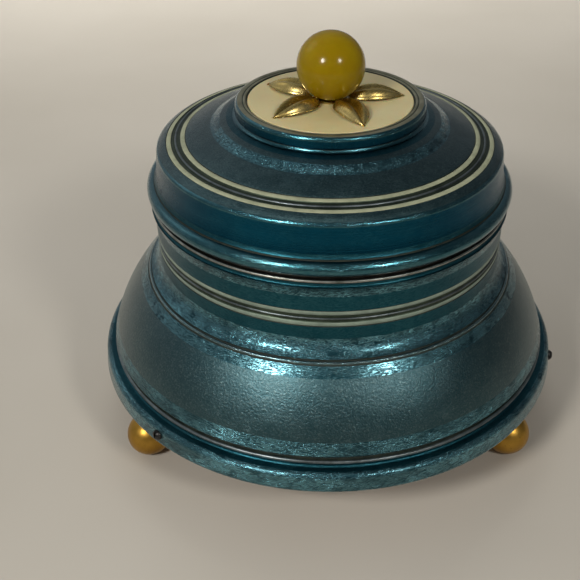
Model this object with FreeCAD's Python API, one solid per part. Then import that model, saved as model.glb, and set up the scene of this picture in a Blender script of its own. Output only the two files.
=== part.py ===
import FreeCAD, Part
import math
import os

# Musical vanity powder box: a turned aluminium body on three ball feet, with a
# lift-off lid, a powder cup in its neck and a clockwork tune movement under the cup.
# Millimetres, +Z up. The origin is on the table, on the axis of the box.

V = FreeCAD.Vector
UP = V(0, 0, 1)
ORIGIN = V(0, 0, 0)

# ---------------------------------------------------------------- driving dimensions
# outside shape
base_radius = 71.2
neck_radius = 51.3
foot_lift = 21.6          # table to the bottom edge of the body
band_height = 5.5         # plain band round the bottom
band_taper = 0.6          # how far the band leans in
band_crown = 0.9          # its rounded top
band_edge = 0.3           # its broken bottom edge
moulding_height = 3.8     # two grooves and a bead above the band
bell_height = 21.4
cove_height = 4.2
neck_height = 14.7
collar_height = 5.0       # flared collar at the top of the neck
collar_flare = 0.9
lid_gap = 0.6             # shadow gap between the body and the lid
lid_bead_height = 4.2
lid_bead_stand = 1.7      # how far the lid's bead stands out past the neck
lid_side_height = 9.0
lid_side_inset = 1.9      # lid side inside the neck's radius
lid_draft = 0.7
shoulder = 2.0
dome_rise = 4.3
dome_edge_width = 1.9     # slope between the dome and the step
step_width = 5.4
step_rise = 1.4
boss_radius = 26.2
boss_bulge = 1.0
boss_fillet_rise = 1.3
boss_height = 4.1
rim_width = 3.3
disc_thickness = 0.8
disc_sink = 0.2
groove_depth = 0.35
groove_width = 0.8
stripe_gap = 2.05         # painted stripe to the bare line beside it
lid_stripe_inset = 5.3    # bare line inside the lid's side
wall = 1.2
bell_foot_inset = 3.7      # bell's foot inside the band
bell_foot_thickness = 1.9
bell_top_flare = 3.7       # bell's top outside the neck
moulding_inset = 3.2
seat_step = 0.2            # ledge over the board's edge
past = 1.0                 # how far a cut runs past the face it opens
# knob and leaves
knob_radius = 9.5
knob_flat = 0.5
hub_thickness = 0.5
hub_radius = 4.6
leaf_count = 5
leaf_inset = 2.6          # leaf tips inside the disc's edge
leaf_width = 8.4
leaf_rise = 2.6
leaf_turn = 6.0
knob_screw_radius = 1.5
knob_screw_grip = 6.0
knob_washer_radius = 5.0
washer_thickness = 0.7
screw_head_height = 1.7
# board, feet and their screws
board_recess = 1.0
ledge_wall = 1.1          # metal left between the board's seat and the top of the band
board_clearance = 0.3
foot_count = 3
foot_ball_radius = 6.7
foot_flat = 0.2
foot_stem_radius = 3.0
foot_collar_radius = 4.6
foot_collar_height = 1.2
foot_first_angle = 90.0
foot_screw_radius = 0.9
foot_screw_head = 1.5
foot_screw_grip = 6.0
foot_screw_room = 0.1      # foot screw's head to the bell's inside
base_screw_first_angle = 107.0
base_screw_radius = 0.9
base_screw_head = 1.6
base_screw_proud = 1.2
base_screw_length = 7.0
base_screw_stub = 0.01     # shank left on the head before it is cut to the band
# powder cup
cup_inset = 5.1           # cup's side inside the neck's bore
cup_wall = 0.8
cup_lift = 1.1            # room over the stop finger at the top of its travel
cup_flange_thickness = 0.6
cup_collar_rise = 2.6
cup_clearance = 0.15
# movement
plate_thickness = 1.5
plate_margin = 2.5
arbor_radius = 2.0
running = 0.05            # radial running clearance of every shaft
barrel_radius = 13.0
barrel_height = 9.0
barrel_wall = 0.9
barrel_lift = 1.2         # plate to the underside of the barrel
spring_turns = 7
spring_leaf = 0.35
great_teeth = 45
great_pitch_radius = 14.0
great_tooth_length = 2.0
great_tooth_height = 1.3
great_web = 1.2
pinion_teeth = 12
mesh_gap = 0.15           # tooth tip to tooth root, and the play beside a tooth
pinion_length = 1.6
cylinder_radius = 6.5
cylinder_length = 31.0
cylinder_shaft = 1.0
pin_height = 0.55
pin_radius = 0.22
pin_rings = 18
pins_per_ring = 5
governor_beside = 1.9      # governor's shaft outside the cylinder
pin_room = 0.15            # between the turning pins and the governor's bracket
train_teeth = 48
train_pinion_teeth = 8
train_thickness = 1.2
worm_pitch = 1.0
worm_wheel_teeth = 28
worm_radius = 1.0
worm_depth = 0.4
fan_radius = 3.4
fan_height = 2.2
fan_shaft = 0.5
comb_teeth = 18
comb_tooth_length = 15.0
comb_heel = 8.0
comb_thickness = 0.9
comb_gap = 0.2
bracket_wall = 1.2
screw_radius = 1.0
screw_head = 1.9
ratchet_teeth = 14
ratchet_radius = 5.0
key_width = 24.0
key_drop = 10.0
key_thickness = 1.6
key_hub_radius = 3.2
key_gap = 1.5
# music stop
plunger_radius = 1.0
plunger_head_radius = 1.9
plunger_head_height = 1.0
plunger_inset = 2.9       # plunger inside the neck's bore
stop_reach = 8.9          # plunger to the governor's shaft
stop_gap = 0.1
stop_disc_radius = 2.0
stop_disc_thickness = 0.5
stop_travel = 3.0
train_gap = 0.8            # train wheel to its post
drum_gap = 0.6             # cylinder's end to the train wheel
pinion_gap = 2.5           # cylinder's other end to the great wheel
ear_gap = 1.5              # great wheel to the bridge's ear
governor_overhang = 3.2    # governor's shaft past the post
worm_below = 4.2           # worm's shaft under and over the wheel's middle
worm_above = 3.4
arm_gap = 0.5
fan_gap = 0.4
stop_disc_gap = 0.1
finger_height = 1.0
guide_drop = 2.0           # plunger's guide under the cylinder's axis
plate_side = 5.0           # plate past the great wheel and past the worm
bridge_reach = 4.5         # bridge's feet past the great wheel
bridge_gap = 0.8           # over the great wheel's teeth
spring_wire = 0.22

# ---------------------------------------------------------------- levels and radii
edge_z = foot_lift
band_z = edge_z + band_height
bell_z = band_z + moulding_height
cove_z = bell_z + bell_height
neck_z = cove_z + cove_height
collar_z = neck_z + neck_height
body_top_z = collar_z + collar_height
lid_z = body_top_z + lid_gap
lid_side_z = lid_z + lid_bead_height
shoulder_z = lid_side_z + lid_side_height
dome_z = shoulder_z + shoulder
dome_top_z = dome_z + dome_rise
step_z = dome_top_z + step_rise
boss_z = step_z + boss_fillet_rise
boss_top_z = boss_z + boss_height
disc_z = boss_top_z - disc_sink - disc_thickness
disc_radius = boss_radius + boss_bulge / 2 - rim_width - cup_clearance
leaf_reach = disc_radius - leaf_inset
disc_top_z = disc_z + disc_thickness
hub_top_z = disc_top_z + hub_thickness
knob_z = hub_top_z + knob_radius - knob_flat
boss_inner_z = disc_z - wall

step_radius = boss_radius + step_width
dome_radius = step_radius + dome_edge_width
lid_side_radius = neck_radius - lid_side_inset
lid_stripe_radius = lid_side_radius - lid_stripe_inset
bell_foot_radius = base_radius - bell_foot_inset
throat_radius = bell_foot_radius - bell_foot_thickness
foot_circle = throat_radius - foot_screw_head - foot_screw_room
bell_top_radius = neck_radius + bell_top_flare
moulding_radius = base_radius - moulding_inset
band_inner = base_radius - wall - seat_step
neck_inner = neck_radius - wall
collar_radius = neck_radius + collar_flare
lid_bead_radius = neck_radius + lid_bead_stand
lid_inner = lid_side_radius - wall
lid_mouth = neck_inner + cup_clearance
lid_ledge_z = lid_z + 0.75 * lid_bead_height
cup_radius = neck_inner - cup_inset
plunger_circle = neck_inner - plunger_inset

board_z = edge_z + board_recess
board_thickness = band_height - board_recess - ledge_wall
board_top_z = board_z + board_thickness
board_radius = band_inner - board_clearance
plate_z = board_top_z
plate_top_z = plate_z + plate_thickness
barrel_z = plate_top_z + barrel_lift
great_z = barrel_z + barrel_height
great_face_z = great_z + great_web
tooth_pitch = 2 * math.pi * great_pitch_radius / great_teeth
pinion_pitch_radius = great_pitch_radius * pinion_teeth / great_teeth
pinion_outer = pinion_pitch_radius + great_tooth_height / 2 - mesh_gap / 2
pinion_root = pinion_pitch_radius - great_tooth_height / 2 - mesh_gap / 2
cylinder_z = great_face_z + great_tooth_height / 2 + pinion_pitch_radius
train_module = 2 * (cylinder_radius + governor_beside) / (train_teeth + train_pinion_teeth)
train_radius = train_module * train_teeth / 2
train_pinion_radius = train_module * train_pinion_teeth / 2
governor_y = train_radius + train_pinion_radius
worm_wheel_radius = worm_pitch * worm_wheel_teeth / (2 * math.pi)
worm_y = governor_y + worm_wheel_radius + worm_radius
worm_x = math.sqrt((plunger_circle - stop_reach) ** 2 - worm_y ** 2)
post_x = worm_x - bracket_wall / 2
train_x = post_x - train_thickness - train_gap
cylinder_x1 = train_x - drum_gap
cylinder_x0 = cylinder_x1 - cylinder_length
pinion_x = cylinder_x0 - great_tooth_length / 2 - pinion_gap
arbor_x = pinion_x - great_pitch_radius
arbor_y = 0.0
governor_end_x = post_x + bracket_wall + governor_overhang
worm_low_z = cylinder_z - worm_below
worm_high_z = cylinder_z + worm_above
upper_arm_z = worm_high_z + arm_gap
fan_z = upper_arm_z + bracket_wall + fan_gap
stop_disc_z = fan_z + fan_height + stop_disc_gap
finger_z = stop_disc_z + stop_disc_thickness + stop_gap
cup_top_z = body_top_z + cup_flange_thickness
cup_bottom_z = finger_z + finger_height + stop_travel + cup_lift
plunger_angle = math.degrees(math.atan2(worm_y, worm_x))
plunger_x = plunger_circle * math.cos(math.radians(plunger_angle))
plunger_y = plunger_circle * math.sin(math.radians(plunger_angle))
plunger_top_z = lid_ledge_z - stop_gap
guide_z = cylinder_z - guide_drop
plate_x0 = arbor_x - great_pitch_radius - great_tooth_length / 2 - plate_side
plate_x1 = governor_end_x + plate_margin
plate_y1 = worm_y + plate_side
comb_tip_y = -(cylinder_radius + pin_height + comb_gap)
comb_heel_y = comb_tip_y - comb_tooth_length
comb_back_y = comb_heel_y - comb_heel
plate_y0 = comb_back_y - plate_margin


# ---------------------------------------------------------------- shape helpers
def edges_through(path):
    """Edges along a path of (x, y) points, where ("arc", mid, end) is a round stretch."""
    edges = []
    here = path[0]
    for step in path[1:]:
        if step[0] == "arc":
            edges.append(Part.Arc(V(here[0], 0, here[1]), V(step[1][0], 0, step[1][1]),
                                  V(step[2][0], 0, step[2][1])).toShape())
            here = step[2]
        else:
            edges.append(Part.LineSegment(V(here[0], 0, here[1]), V(step[0], 0, step[1])).toShape())
            here = step
    return edges


def turned(path):
    """A solid turned about Z from a closed path of (radius, height) points."""
    face = Part.Face(Part.Wire(edges_through(path + [path[0]])))
    return face.revolve(ORIGIN, UP, 360)


def disc(radius, low, high, x=0.0, y=0.0):
    return Part.makeCylinder(radius, high - low, V(x, y, low))


def ring(outer, inner, low, high, x=0.0, y=0.0):
    return disc(outer, low, high, x, y).cut(disc(inner, low - past, high + past, x, y))


def rod_x(radius, low, high, y, z):
    return Part.makeCylinder(radius, high - low, V(low, y, z), V(1, 0, 0))


def block(x0, x1, y0, y1, z0, z1):
    return Part.makeBox(x1 - x0, y1 - y0, z1 - z0, V(x0, y0, z0))


def fused(shapes):
    whole = shapes[0].multiFuse(shapes[1:])
    return whole.removeSplitter()


def turned_about(shape, angle, centre=ORIGIN, axis=UP):
    copy = shape.copy()
    copy.rotate(centre, axis, angle)
    return copy


def on_x_axis(shape, x, y, z):
    """Lay a piece made about Z along X, and put its origin at (x, y, z)."""
    copy = shape.copy()
    copy.rotate(ORIGIN, V(0, 1, 0), 90)
    copy.translate(V(x, y, z))
    return copy


def toothed_disc(teeth, outer, root, tip_width, root_width, thickness):
    """A plain gear about Z with straight-sided teeth, one of them centred on +X."""
    points = []
    for i in range(teeth):
        middle = 2 * math.pi * i / teeth
        for radius, width, side in ((root, root_width, -1), (outer, tip_width, -1),
                                    (outer, tip_width, 1), (root, root_width, 1)):
            turn = middle + side * width / (2 * radius)
            points.append(V(radius * math.cos(turn), radius * math.sin(turn), 0))
    points.append(points[0])
    return Part.Face(Part.makePolygon(points)).extrude(V(0, 0, thickness))


def screw(radius, head_radius, head_height, length):
    """A round-headed screw about Z: the head stands on z = 0 and the shank goes down."""
    head = turned([(0, 0), (head_radius, 0), ("arc", (0.75 * head_radius, 0.75 * head_height),
                                              (0, head_height))])
    slot = block(-head_radius, head_radius, -0.12 * head_radius - 0.1, 0.12 * head_radius + 0.1,
                 0.55 * head_height, head_height + past)
    return head.cut(slot).fuse(disc(radius, -length, 0)).removeSplitter()


def export(name, shape):
    shape.exportStep("parts/" + name + ".step")
    print(name, "solids", len(shape.Solids), "valid", shape.isValid(), "volume", round(shape.Volume, 1))


# ---------------------------------------------------------------- body
def body_shell():
    """One spun and turned shell: band, mouldings, bell, cove, neck and flared collar."""
    bell_mid_r = (bell_foot_radius + bell_top_radius) / 2 + 1.2
    bell_mid_z = (bell_z + cove_z) / 2 + 0.8
    stripe_z = neck_z + 0.52 * neck_height
    bead_low = band_z + 0.25 * moulding_height
    bead_high = band_z + 0.62 * moulding_height
    path = band_skin(base_radius) + [
            ("arc", (base_radius - 0.9, band_z - 0.25), (base_radius - 1.6, band_z)),
            (moulding_radius, band_z + 0.1), (moulding_radius - 0.2, bead_low),
            ("arc", (moulding_radius + 0.4, (bead_low + bead_high) / 2), (moulding_radius - 0.3, bead_high)),
            (bell_foot_radius - 0.9, bead_high + 0.1), (bell_foot_radius - 0.9, bell_z - 0.3),
            (bell_foot_radius, bell_z),
            ("arc", (bell_mid_r, bell_mid_z), (bell_top_radius, cove_z)),
            (bell_top_radius - 0.8, cove_z + 0.1), (bell_top_radius - 0.8, cove_z + 0.7),
            ("arc", (neck_radius + 0.9, cove_z + 0.45 * cove_height), (neck_radius, neck_z))]
    for offset in (-stripe_gap, 0, stripe_gap):
        middle = stripe_z + offset
        path += [(neck_radius, middle - groove_width / 2),
                 ("arc", (neck_radius - groove_depth, middle), (neck_radius, middle + groove_width / 2))]
    path += [(neck_radius, collar_z),
             ("arc", (neck_radius + 0.35 * collar_flare, collar_z + 0.3 * collar_height),
              (collar_radius, collar_z + 0.6 * collar_height)),
             (collar_radius - 0.4, collar_z + 0.66 * collar_height),
             (collar_radius - 0.1, collar_z + 0.74 * collar_height),
             ("arc", (collar_radius - 0.3, body_top_z - 0.3), (collar_radius - 0.9, body_top_z)),
             (neck_inner, body_top_z), (neck_inner, neck_z - 0.4),
             (bell_top_radius - wall - 0.8, cove_z - 0.4),
             ("arc", (bell_mid_r - wall, bell_mid_z - wall), (throat_radius, bell_z - 0.6)),
             (throat_radius, board_top_z + 0.5), (band_inner, board_top_z),
             (band_inner, edge_z)]
    shell = turned(path)
    for i in range(foot_count):
        angle = base_screw_first_angle + i * 360 / foot_count
        hole = Part.makeCylinder(base_screw_radius, 10, V(base_radius - 8, 0, base_screw_z()), V(1, 0, 0))
        shell = shell.cut(turned_about(hole, angle))
    return shell


def base_screw_z():
    return board_z + board_thickness / 2


def band_skin(radius):
    """Radius and height points up the outside of the band, for a band of this radius."""
    return [(radius - band_edge, edge_z), (radius, edge_z + band_edge), (radius - band_taper, band_z - band_crown)]


def base_screws():
    """Round-headed screws through the band into the edge of the board."""
    seat = base_radius - band_taper
    inside_band = turned([(0, edge_z)] + band_skin(base_radius) + [(0, band_z - band_crown)])
    screws = []
    for i in range(foot_count):
        piece = screw(base_screw_radius, base_screw_head, base_screw_proud + band_edge, base_screw_stub)
        shank = disc(base_screw_radius, -base_screw_length, 0)
        for shape in (piece, shank):
            shape.rotate(ORIGIN, V(0, 1, 0), 90)
            shape.translate(V(seat, 0, base_screw_z()))
        whole = piece.cut(inside_band).fuse(shank.fuse(piece.common(core_of_screw()))).removeSplitter()
        screws.append(turned_about(whole, base_screw_first_angle + i * 360 / foot_count))
    return Part.makeCompound(screws)


def core_of_screw():
    """The middle of a base screw, which joins its head to its shank through the band."""
    return Part.makeCylinder(base_screw_radius, 3, V(base_radius - 2, 0, base_screw_z()), V(1, 0, 0))


def foot_angles():
    return [foot_first_angle + i * 360 / foot_count for i in range(foot_count)]


def base_board():
    """The wooden bottom, held in the band by screws through its edge."""
    board = disc(board_radius, board_z, board_top_z)
    board = board.cut(disc(arbor_radius + 0.6, board_z - past, board_top_z + past, arbor_x, arbor_y))
    for angle in foot_angles():
        at = foot_place(angle)
        board = board.cut(disc(foot_screw_radius, board_z - past, board_top_z + past, at.x, at.y))
    for i in range(foot_count):
        hole = Part.makeCylinder(base_screw_radius, 20, V(base_radius - band_taper - base_screw_length, 0,
                                                          base_screw_z()), V(1, 0, 0))
        board = board.cut(turned_about(hole, base_screw_first_angle + i * 360 / foot_count))
    for x, y in plate_screw_places():
        board = board.cut(disc(screw_radius, board_top_z - 4, board_top_z + past, x, y))
    return board


def foot_place(angle):
    turn = math.radians(angle)
    return V(foot_circle * math.cos(turn), foot_circle * math.sin(turn), 0)


def ball_foot(angle):
    """A turned ball on a stem, with a small flat to stand on and a blind hole for its screw."""
    at = foot_place(angle)
    centre_z = foot_ball_radius - foot_flat
    ball = Part.makeSphere(foot_ball_radius, V(at.x, at.y, centre_z))
    ball = ball.cut(disc(foot_ball_radius, -foot_ball_radius, 0, at.x, at.y))
    stem = disc(foot_stem_radius, centre_z, board_z, at.x, at.y)
    collar = disc(foot_collar_radius, board_z - foot_collar_height, board_z, at.x, at.y)
    hole = disc(foot_screw_radius, board_z - foot_screw_grip, board_z + past, at.x, at.y)
    return fused([ball, stem, collar]).cut(hole)


def foot_screws():
    screws = []
    for angle in foot_angles():
        at = foot_place(angle)
        piece = screw(foot_screw_radius, foot_screw_head, screw_head_height,
                      board_thickness + foot_screw_grip)
        piece.translate(V(at.x, at.y, board_top_z))
        screws.append(piece)
    return Part.makeCompound(screws)


def powder_cup():
    """The powder cup: it hangs in the neck by its flange, whose collar centres the lid."""
    outside = neck_inner - cup_clearance
    corner = 3.0
    collar_top = cup_top_z + cup_collar_rise
    path = [(0, cup_bottom_z), (cup_radius - corner, cup_bottom_z),
            ("arc", (cup_radius - 0.3 * corner, cup_bottom_z + 0.3 * corner),
             (cup_radius, cup_bottom_z + corner)),
            (cup_radius, body_top_z), (collar_radius - 1.2, body_top_z),
            (collar_radius - 1.2, cup_top_z), (outside, cup_top_z), (outside, collar_top),
            (outside - cup_wall, collar_top), (outside - cup_wall, cup_top_z),
            (cup_radius - cup_wall, cup_top_z), (cup_radius - cup_wall, cup_bottom_z + corner),
            ("arc", (cup_radius - 0.3 * corner - cup_wall, cup_bottom_z + 0.3 * corner + cup_wall),
             (cup_radius - corner, cup_bottom_z + cup_wall)),
            (0, cup_bottom_z + cup_wall)]
    hole = disc(plunger_radius + cup_wall, body_top_z - past, cup_top_z + past, plunger_x, plunger_y)
    return turned(path).cut(hole)


def plunger_bush():
    """The guide bush in the cup's flange, with a lip under it and the plunger through it."""
    low = body_top_z - 1.2
    lip = disc(plunger_radius + cup_wall + 0.3, low, body_top_z, plunger_x, plunger_y)
    body = disc(plunger_radius + cup_wall, low, cup_top_z + 0.3, plunger_x, plunger_y)
    hole = disc(plunger_radius + running, low - past, cup_top_z + past, plunger_x, plunger_y)
    return fused([lip, body]).cut(hole)


# ---------------------------------------------------------------- lid
def lid_shell():
    """The turned lid: bead, side, domed top with three fine grooves, step and raised boss."""
    bead_middle = lid_z + 0.57 * lid_bead_height
    bead_side = lid_bead_radius - 1.9
    rim_out = boss_radius - 0.5
    dome_mid_r = (dome_radius + lid_side_radius - shoulder) / 2
    slope = dome_rise / (lid_side_radius - shoulder - dome_radius)
    path = [(lid_mouth, lid_z), (bead_side, lid_z), (bead_side, lid_z + 0.1 * lid_bead_height),
            ("arc", (lid_bead_radius, bead_middle), (bead_side, lid_side_z - 0.05)),
            (lid_side_radius + lid_draft, lid_side_z + 0.1),
            (lid_side_radius, shoulder_z),
            ("arc", (lid_side_radius - 0.3 * shoulder, shoulder_z + 0.7 * shoulder),
             (lid_side_radius - shoulder, dome_z))]
    for offset in (stripe_gap, 0, -stripe_gap):
        middle = lid_stripe_radius + offset
        for side, depth in ((1, 0), (0, groove_depth), (-1, 0)):
            radius = middle + side * groove_width / 2
            height = dome_z + slope * (lid_side_radius - shoulder - radius) - depth
            path.append((radius, height))
    path += [("arc", (0.5 * (dome_radius + lid_stripe_radius - stripe_gap),
                      0.5 * (dome_top_z + dome_z + slope * (lid_side_radius - shoulder
                                                            - lid_stripe_radius + stripe_gap)) + 0.15),
              (dome_radius, dome_top_z)),
             (step_radius, step_z),
             ("arc", (0.5 * (step_radius + boss_radius) - 0.3, step_z + 0.45 * boss_fillet_rise),
              (boss_radius, boss_z)),
             ("arc", (boss_radius + boss_bulge, boss_z + 0.5 * boss_height),
              (boss_radius, boss_top_z - 0.2)),
             (rim_out, boss_top_z), (disc_radius + cup_clearance, boss_top_z),
             (disc_radius + cup_clearance, disc_z), (knob_screw_radius, disc_z),
             (knob_screw_radius, boss_inner_z), (boss_radius - wall, boss_inner_z),
             (boss_radius - wall, boss_z - wall), (step_radius - wall, step_z - wall),
             (dome_radius - wall, dome_top_z - wall), (lid_inner - shoulder, dome_z - wall),
             ("arc", (lid_inner - 0.3 * shoulder, shoulder_z + 0.7 * shoulder - wall),
              (lid_inner, shoulder_z - wall)),
             (lid_inner, lid_ledge_z), (lid_mouth, lid_ledge_z)]
    return turned(path)


def medallion_disc():
    return ring(disc_radius, knob_screw_radius, disc_z, disc_top_z)


def leaf(angle):
    """A domed leaf that starts under the knob and ends in a point, lying on the disc."""
    start = 0.4 * hub_radius
    half = leaf_width / 2
    middle = (start + leaf_reach) / 2
    outline = Part.Wire([
        Part.Arc(V(start, 0, disc_top_z), V(middle, half, disc_top_z), V(leaf_reach, 0, disc_top_z)).toShape(),
        Part.Arc(V(leaf_reach, 0, disc_top_z), V(middle, -half, disc_top_z), V(start, 0, disc_top_z)).toShape()])
    blank = Part.Face(outline).extrude(V(0, 0, 2 * leaf_rise))
    sagitta_radius = (half * half + leaf_rise * leaf_rise) / (2 * leaf_rise)
    dome = rod_x(sagitta_radius, 0, leaf_reach + past, 0, disc_top_z + leaf_rise - sagitta_radius)
    return turned_about(blank.common(dome), angle)


def leaf_rosette():
    hub = disc(hub_radius, disc_top_z, hub_top_z)
    leaves = [leaf(leaf_turn + i * 360 / leaf_count) for i in range(leaf_count)]
    whole = fused([hub] + leaves)
    ball = Part.makeSphere(knob_radius + running, V(0, 0, knob_z))
    whole = whole.cut(ball.cut(disc(knob_radius, disc_top_z - 2, hub_top_z)))
    return whole.cut(disc(knob_screw_radius, disc_top_z - past, hub_top_z + past))


def knob_ball():
    ball = Part.makeSphere(knob_radius, V(0, 0, knob_z))
    ball = ball.cut(disc(knob_radius, knob_z - 2 * knob_radius, hub_top_z))
    return ball.cut(disc(knob_screw_radius, hub_top_z - past, hub_top_z + knob_screw_grip))


def knob_washer():
    return ring(knob_washer_radius, knob_screw_radius, boss_inner_z - washer_thickness, boss_inner_z)


def knob_screw():
    """The screw from inside the lid, through washer, boss, disc and leaves into the knob."""
    seat = boss_inner_z - washer_thickness
    piece = screw(knob_screw_radius, 2 * knob_screw_radius, screw_head_height,
                  hub_top_z + knob_screw_grip - seat)
    piece.rotate(ORIGIN, V(1, 0, 0), 180)
    piece.translate(V(0, 0, seat))
    return piece


# ---------------------------------------------------------------- movement: fixed pieces
def plate_screw_places():
    inset = 4.0
    return [(plate_x0 + inset, inset + 10), (plate_x0 + inset, -inset - 10),
            (plate_x1 - inset - 1, plate_y0 + inset), (cylinder_x0 + 4, plate_y1 - inset)]


def bridge_foot_places():
    reach = great_pitch_radius + great_tooth_length / 2 + bridge_reach
    return [(arbor_x, reach), (arbor_x, -reach)]


def movement_plate():
    plate = block(plate_x0, plate_x1, plate_y0, plate_y1, plate_z, plate_top_z)
    for x, y in plate_screw_places():
        plate = plate.cut(disc(screw_radius, plate_z - past, plate_top_z + past, x, y))
    for x, y in bridge_foot_places():
        plate = plate.cut(disc(screw_radius, plate_z - past, plate_top_z + past, x, y))
    for x in comb_screw_places():
        plate = plate.cut(disc(screw_radius, plate_z - past, plate_top_z + past, x, comb_screw_y()))
    return plate.cut(disc(arbor_radius + running, plate_z - past, plate_top_z + past, arbor_x, arbor_y))


def plate_screws():
    screws = []
    for x, y in plate_screw_places():
        piece = screw(screw_radius, screw_head, screw_head_height, plate_thickness + 4)
        piece.translate(V(x, y, plate_top_z))
        screws.append(piece)
    return Part.makeCompound(screws)


def bridge_levels():
    low = great_face_z + great_tooth_height + bridge_gap
    return low, low + bracket_wall + 0.3


def barrel_bridge():
    """The bridge over the spring barrel: it holds the arbor's top and the cylinder's near end."""
    low, high = bridge_levels()
    reach = bridge_foot_places()[0][1]
    half = 4.0
    bar = block(arbor_x - half, arbor_x + half, -reach - 2.5, reach + 2.5, low, high)
    pieces = [bar]
    for side in (1, -1):
        y0, y1 = sorted((side * (reach - 2.5), side * (reach - 2.5 + bracket_wall)))
        pieces.append(block(arbor_x - half, arbor_x + half, y0, y1, plate_top_z, high))
        y2, y3 = sorted((side * (reach - 2.5), side * (reach + 3.0)))
        pieces.append(block(arbor_x - half, arbor_x + half, y2, y3, plate_top_z, plate_top_z + bracket_wall))
    ear_x = pinion_x - great_tooth_length / 2 - ear_gap - bracket_wall
    pieces.append(block(arbor_x, ear_x + bracket_wall, -3, 3, low, high))
    pieces.append(block(ear_x, ear_x + bracket_wall, -3, 3, low, cylinder_z + 3))
    bridge = fused(pieces)
    bridge = bridge.cut(disc(arbor_radius + running, low - past, high + past, arbor_x, arbor_y))
    bridge = bridge.cut(rod_x(cylinder_shaft + running, ear_x - past, ear_x + bracket_wall + past, 0, cylinder_z))
    for side in (1, -1):
        bridge = bridge.cut(disc(screw_head + 0.3, plate_top_z + bracket_wall, high + past,
                                 arbor_x, side * reach))
        bridge = bridge.cut(disc(screw_radius, plate_top_z - past, plate_top_z + bracket_wall + past,
                                 arbor_x, side * reach))
    return bridge


def bridge_screws():
    screws = []
    for x, y in bridge_foot_places():
        piece = screw(screw_radius, screw_head, screw_head_height, bracket_wall + plate_thickness)
        piece.translate(V(x, y, plate_top_z + bracket_wall))
        screws.append(piece)
    return Part.makeCompound(screws)


def cylinder_post():
    """The post that carries the cylinder's far end."""
    post = block(post_x, post_x + bracket_wall, -2.8, 2.8, plate_top_z, cylinder_z + 3)
    foot = block(post_x, post_x + 3.5, -2.8, 2.8, plate_top_z, plate_top_z + bracket_wall)
    hole = rod_x(cylinder_shaft + running, post_x - past, post_x + bracket_wall + past, 0, cylinder_z)
    return fused([post, foot]).cut(hole)


def comb_screw_places():
    step = cylinder_length / 3
    return [cylinder_x0 + step * (i + 0.5) for i in range(3)]


def comb_screw_y():
    return comb_back_y + comb_heel / 2


def comb_base():
    block_top = cylinder_z - comb_thickness / 2
    base = block(cylinder_x0, cylinder_x1, comb_back_y, comb_heel_y, plate_top_z, block_top)
    for x in comb_screw_places():
        base = base.cut(disc(screw_radius, plate_top_z - past, block_top + past, x, comb_screw_y()))
    return base


def comb():
    """The steel comb: one plate sawn into tuned teeth, whose tips lie beside the cylinder."""
    low = cylinder_z - comb_thickness / 2
    plate = block(cylinder_x0, cylinder_x1, comb_back_y, comb_tip_y, low, low + comb_thickness)
    pitch = cylinder_length / comb_teeth
    for i in range(1, comb_teeth):
        x = cylinder_x0 + i * pitch
        length = comb_tooth_length * (1 - 0.35 * i / comb_teeth)
        plate = plate.cut(block(x - 0.2, x + 0.2, comb_tip_y - length, comb_tip_y + past, low - past, low + 2))
    relief = block(cylinder_x0 - past, cylinder_x1 + past, comb_tip_y - 0.6 * comb_tooth_length, comb_tip_y - 2.5,
                   low - past, low + 0.35 * comb_thickness)
    plate = plate.cut(relief)
    for x in comb_screw_places():
        plate = plate.cut(disc(screw_radius, low - past, low + 2, x, comb_screw_y()))
    return plate


def comb_screws():
    top = cylinder_z + comb_thickness / 2
    screws = []
    for x in comb_screw_places():
        piece = screw(screw_radius, screw_head, screw_head_height, top - plate_z)
        piece.translate(V(x, comb_screw_y(), top))
        screws.append(piece)
    return Part.makeCompound(screws)


def governor_bracket():
    """Two cheeks for the wheel, two arms for the worm and a guide for the stop plunger."""
    half = bracket_wall / 2
    near_x = cylinder_x1 - 4.0
    y0 = cylinder_radius + pin_height + pin_room
    y1 = worm_y + 3.0
    far_x = governor_end_x - bracket_wall
    pieces = [block(near_x, near_x + bracket_wall, y0, y1, plate_top_z, cylinder_z + 2.5),
              block(far_x, governor_end_x, y0, y1, plate_top_z, upper_arm_z + bracket_wall),
              block(near_x, governor_end_x, y1 - bracket_wall, y1, plate_top_z, plate_top_z + 8),
              block(worm_x - 1.8, governor_end_x, worm_y - 1.8, y1, worm_low_z - 2.0, worm_low_z - 2.0 + bracket_wall),
              block(worm_x - 1.8, governor_end_x, worm_y - 1.8, y1, upper_arm_z, upper_arm_z + bracket_wall),
              block(far_x, plunger_x + 2.2, plunger_y - 2.2, plunger_y + 2.2, guide_z - half, guide_z + half)]
    bracket = fused(pieces)
    bracket = bracket.cut(rod_x(fan_shaft + running, near_x - past, governor_end_x + past, governor_y, cylinder_z))
    bracket = bracket.cut(disc(fan_shaft + running, worm_low_z - 3, upper_arm_z + 3, worm_x, worm_y))
    return bracket.cut(disc(plunger_radius + running, guide_z - 3, guide_z + 3, plunger_x, plunger_y))


def ratchet_click():
    """The click beside the ratchet wheel, on its own stud."""
    at_x = arbor_x - ratchet_radius - 3.2
    low = plate_top_z
    high = plate_top_z + barrel_lift - 0.3
    stud = disc(1.2, low, high, at_x, arbor_y + 3)
    tip = block(at_x - 0.6, at_x + 0.9, arbor_y - 2.5, arbor_y + 3, low + 0.1, high)
    nose = block(at_x, arbor_x - ratchet_radius - 0.25, arbor_y - 2.5, arbor_y - 1.3, low + 0.1, high)
    return fused([stud, tip, nose])


# ---------------------------------------------------------------- movement: turning pieces
def spring_barrel():
    drum = ring(barrel_radius, barrel_radius - barrel_wall, barrel_z, great_z, arbor_x, arbor_y)
    floor = disc(barrel_radius, barrel_z, barrel_z + barrel_wall, arbor_x, arbor_y)
    hole = disc(arbor_radius + running, barrel_z - past, great_z + past, arbor_x, arbor_y)
    return fused([drum, floor]).cut(hole)


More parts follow.
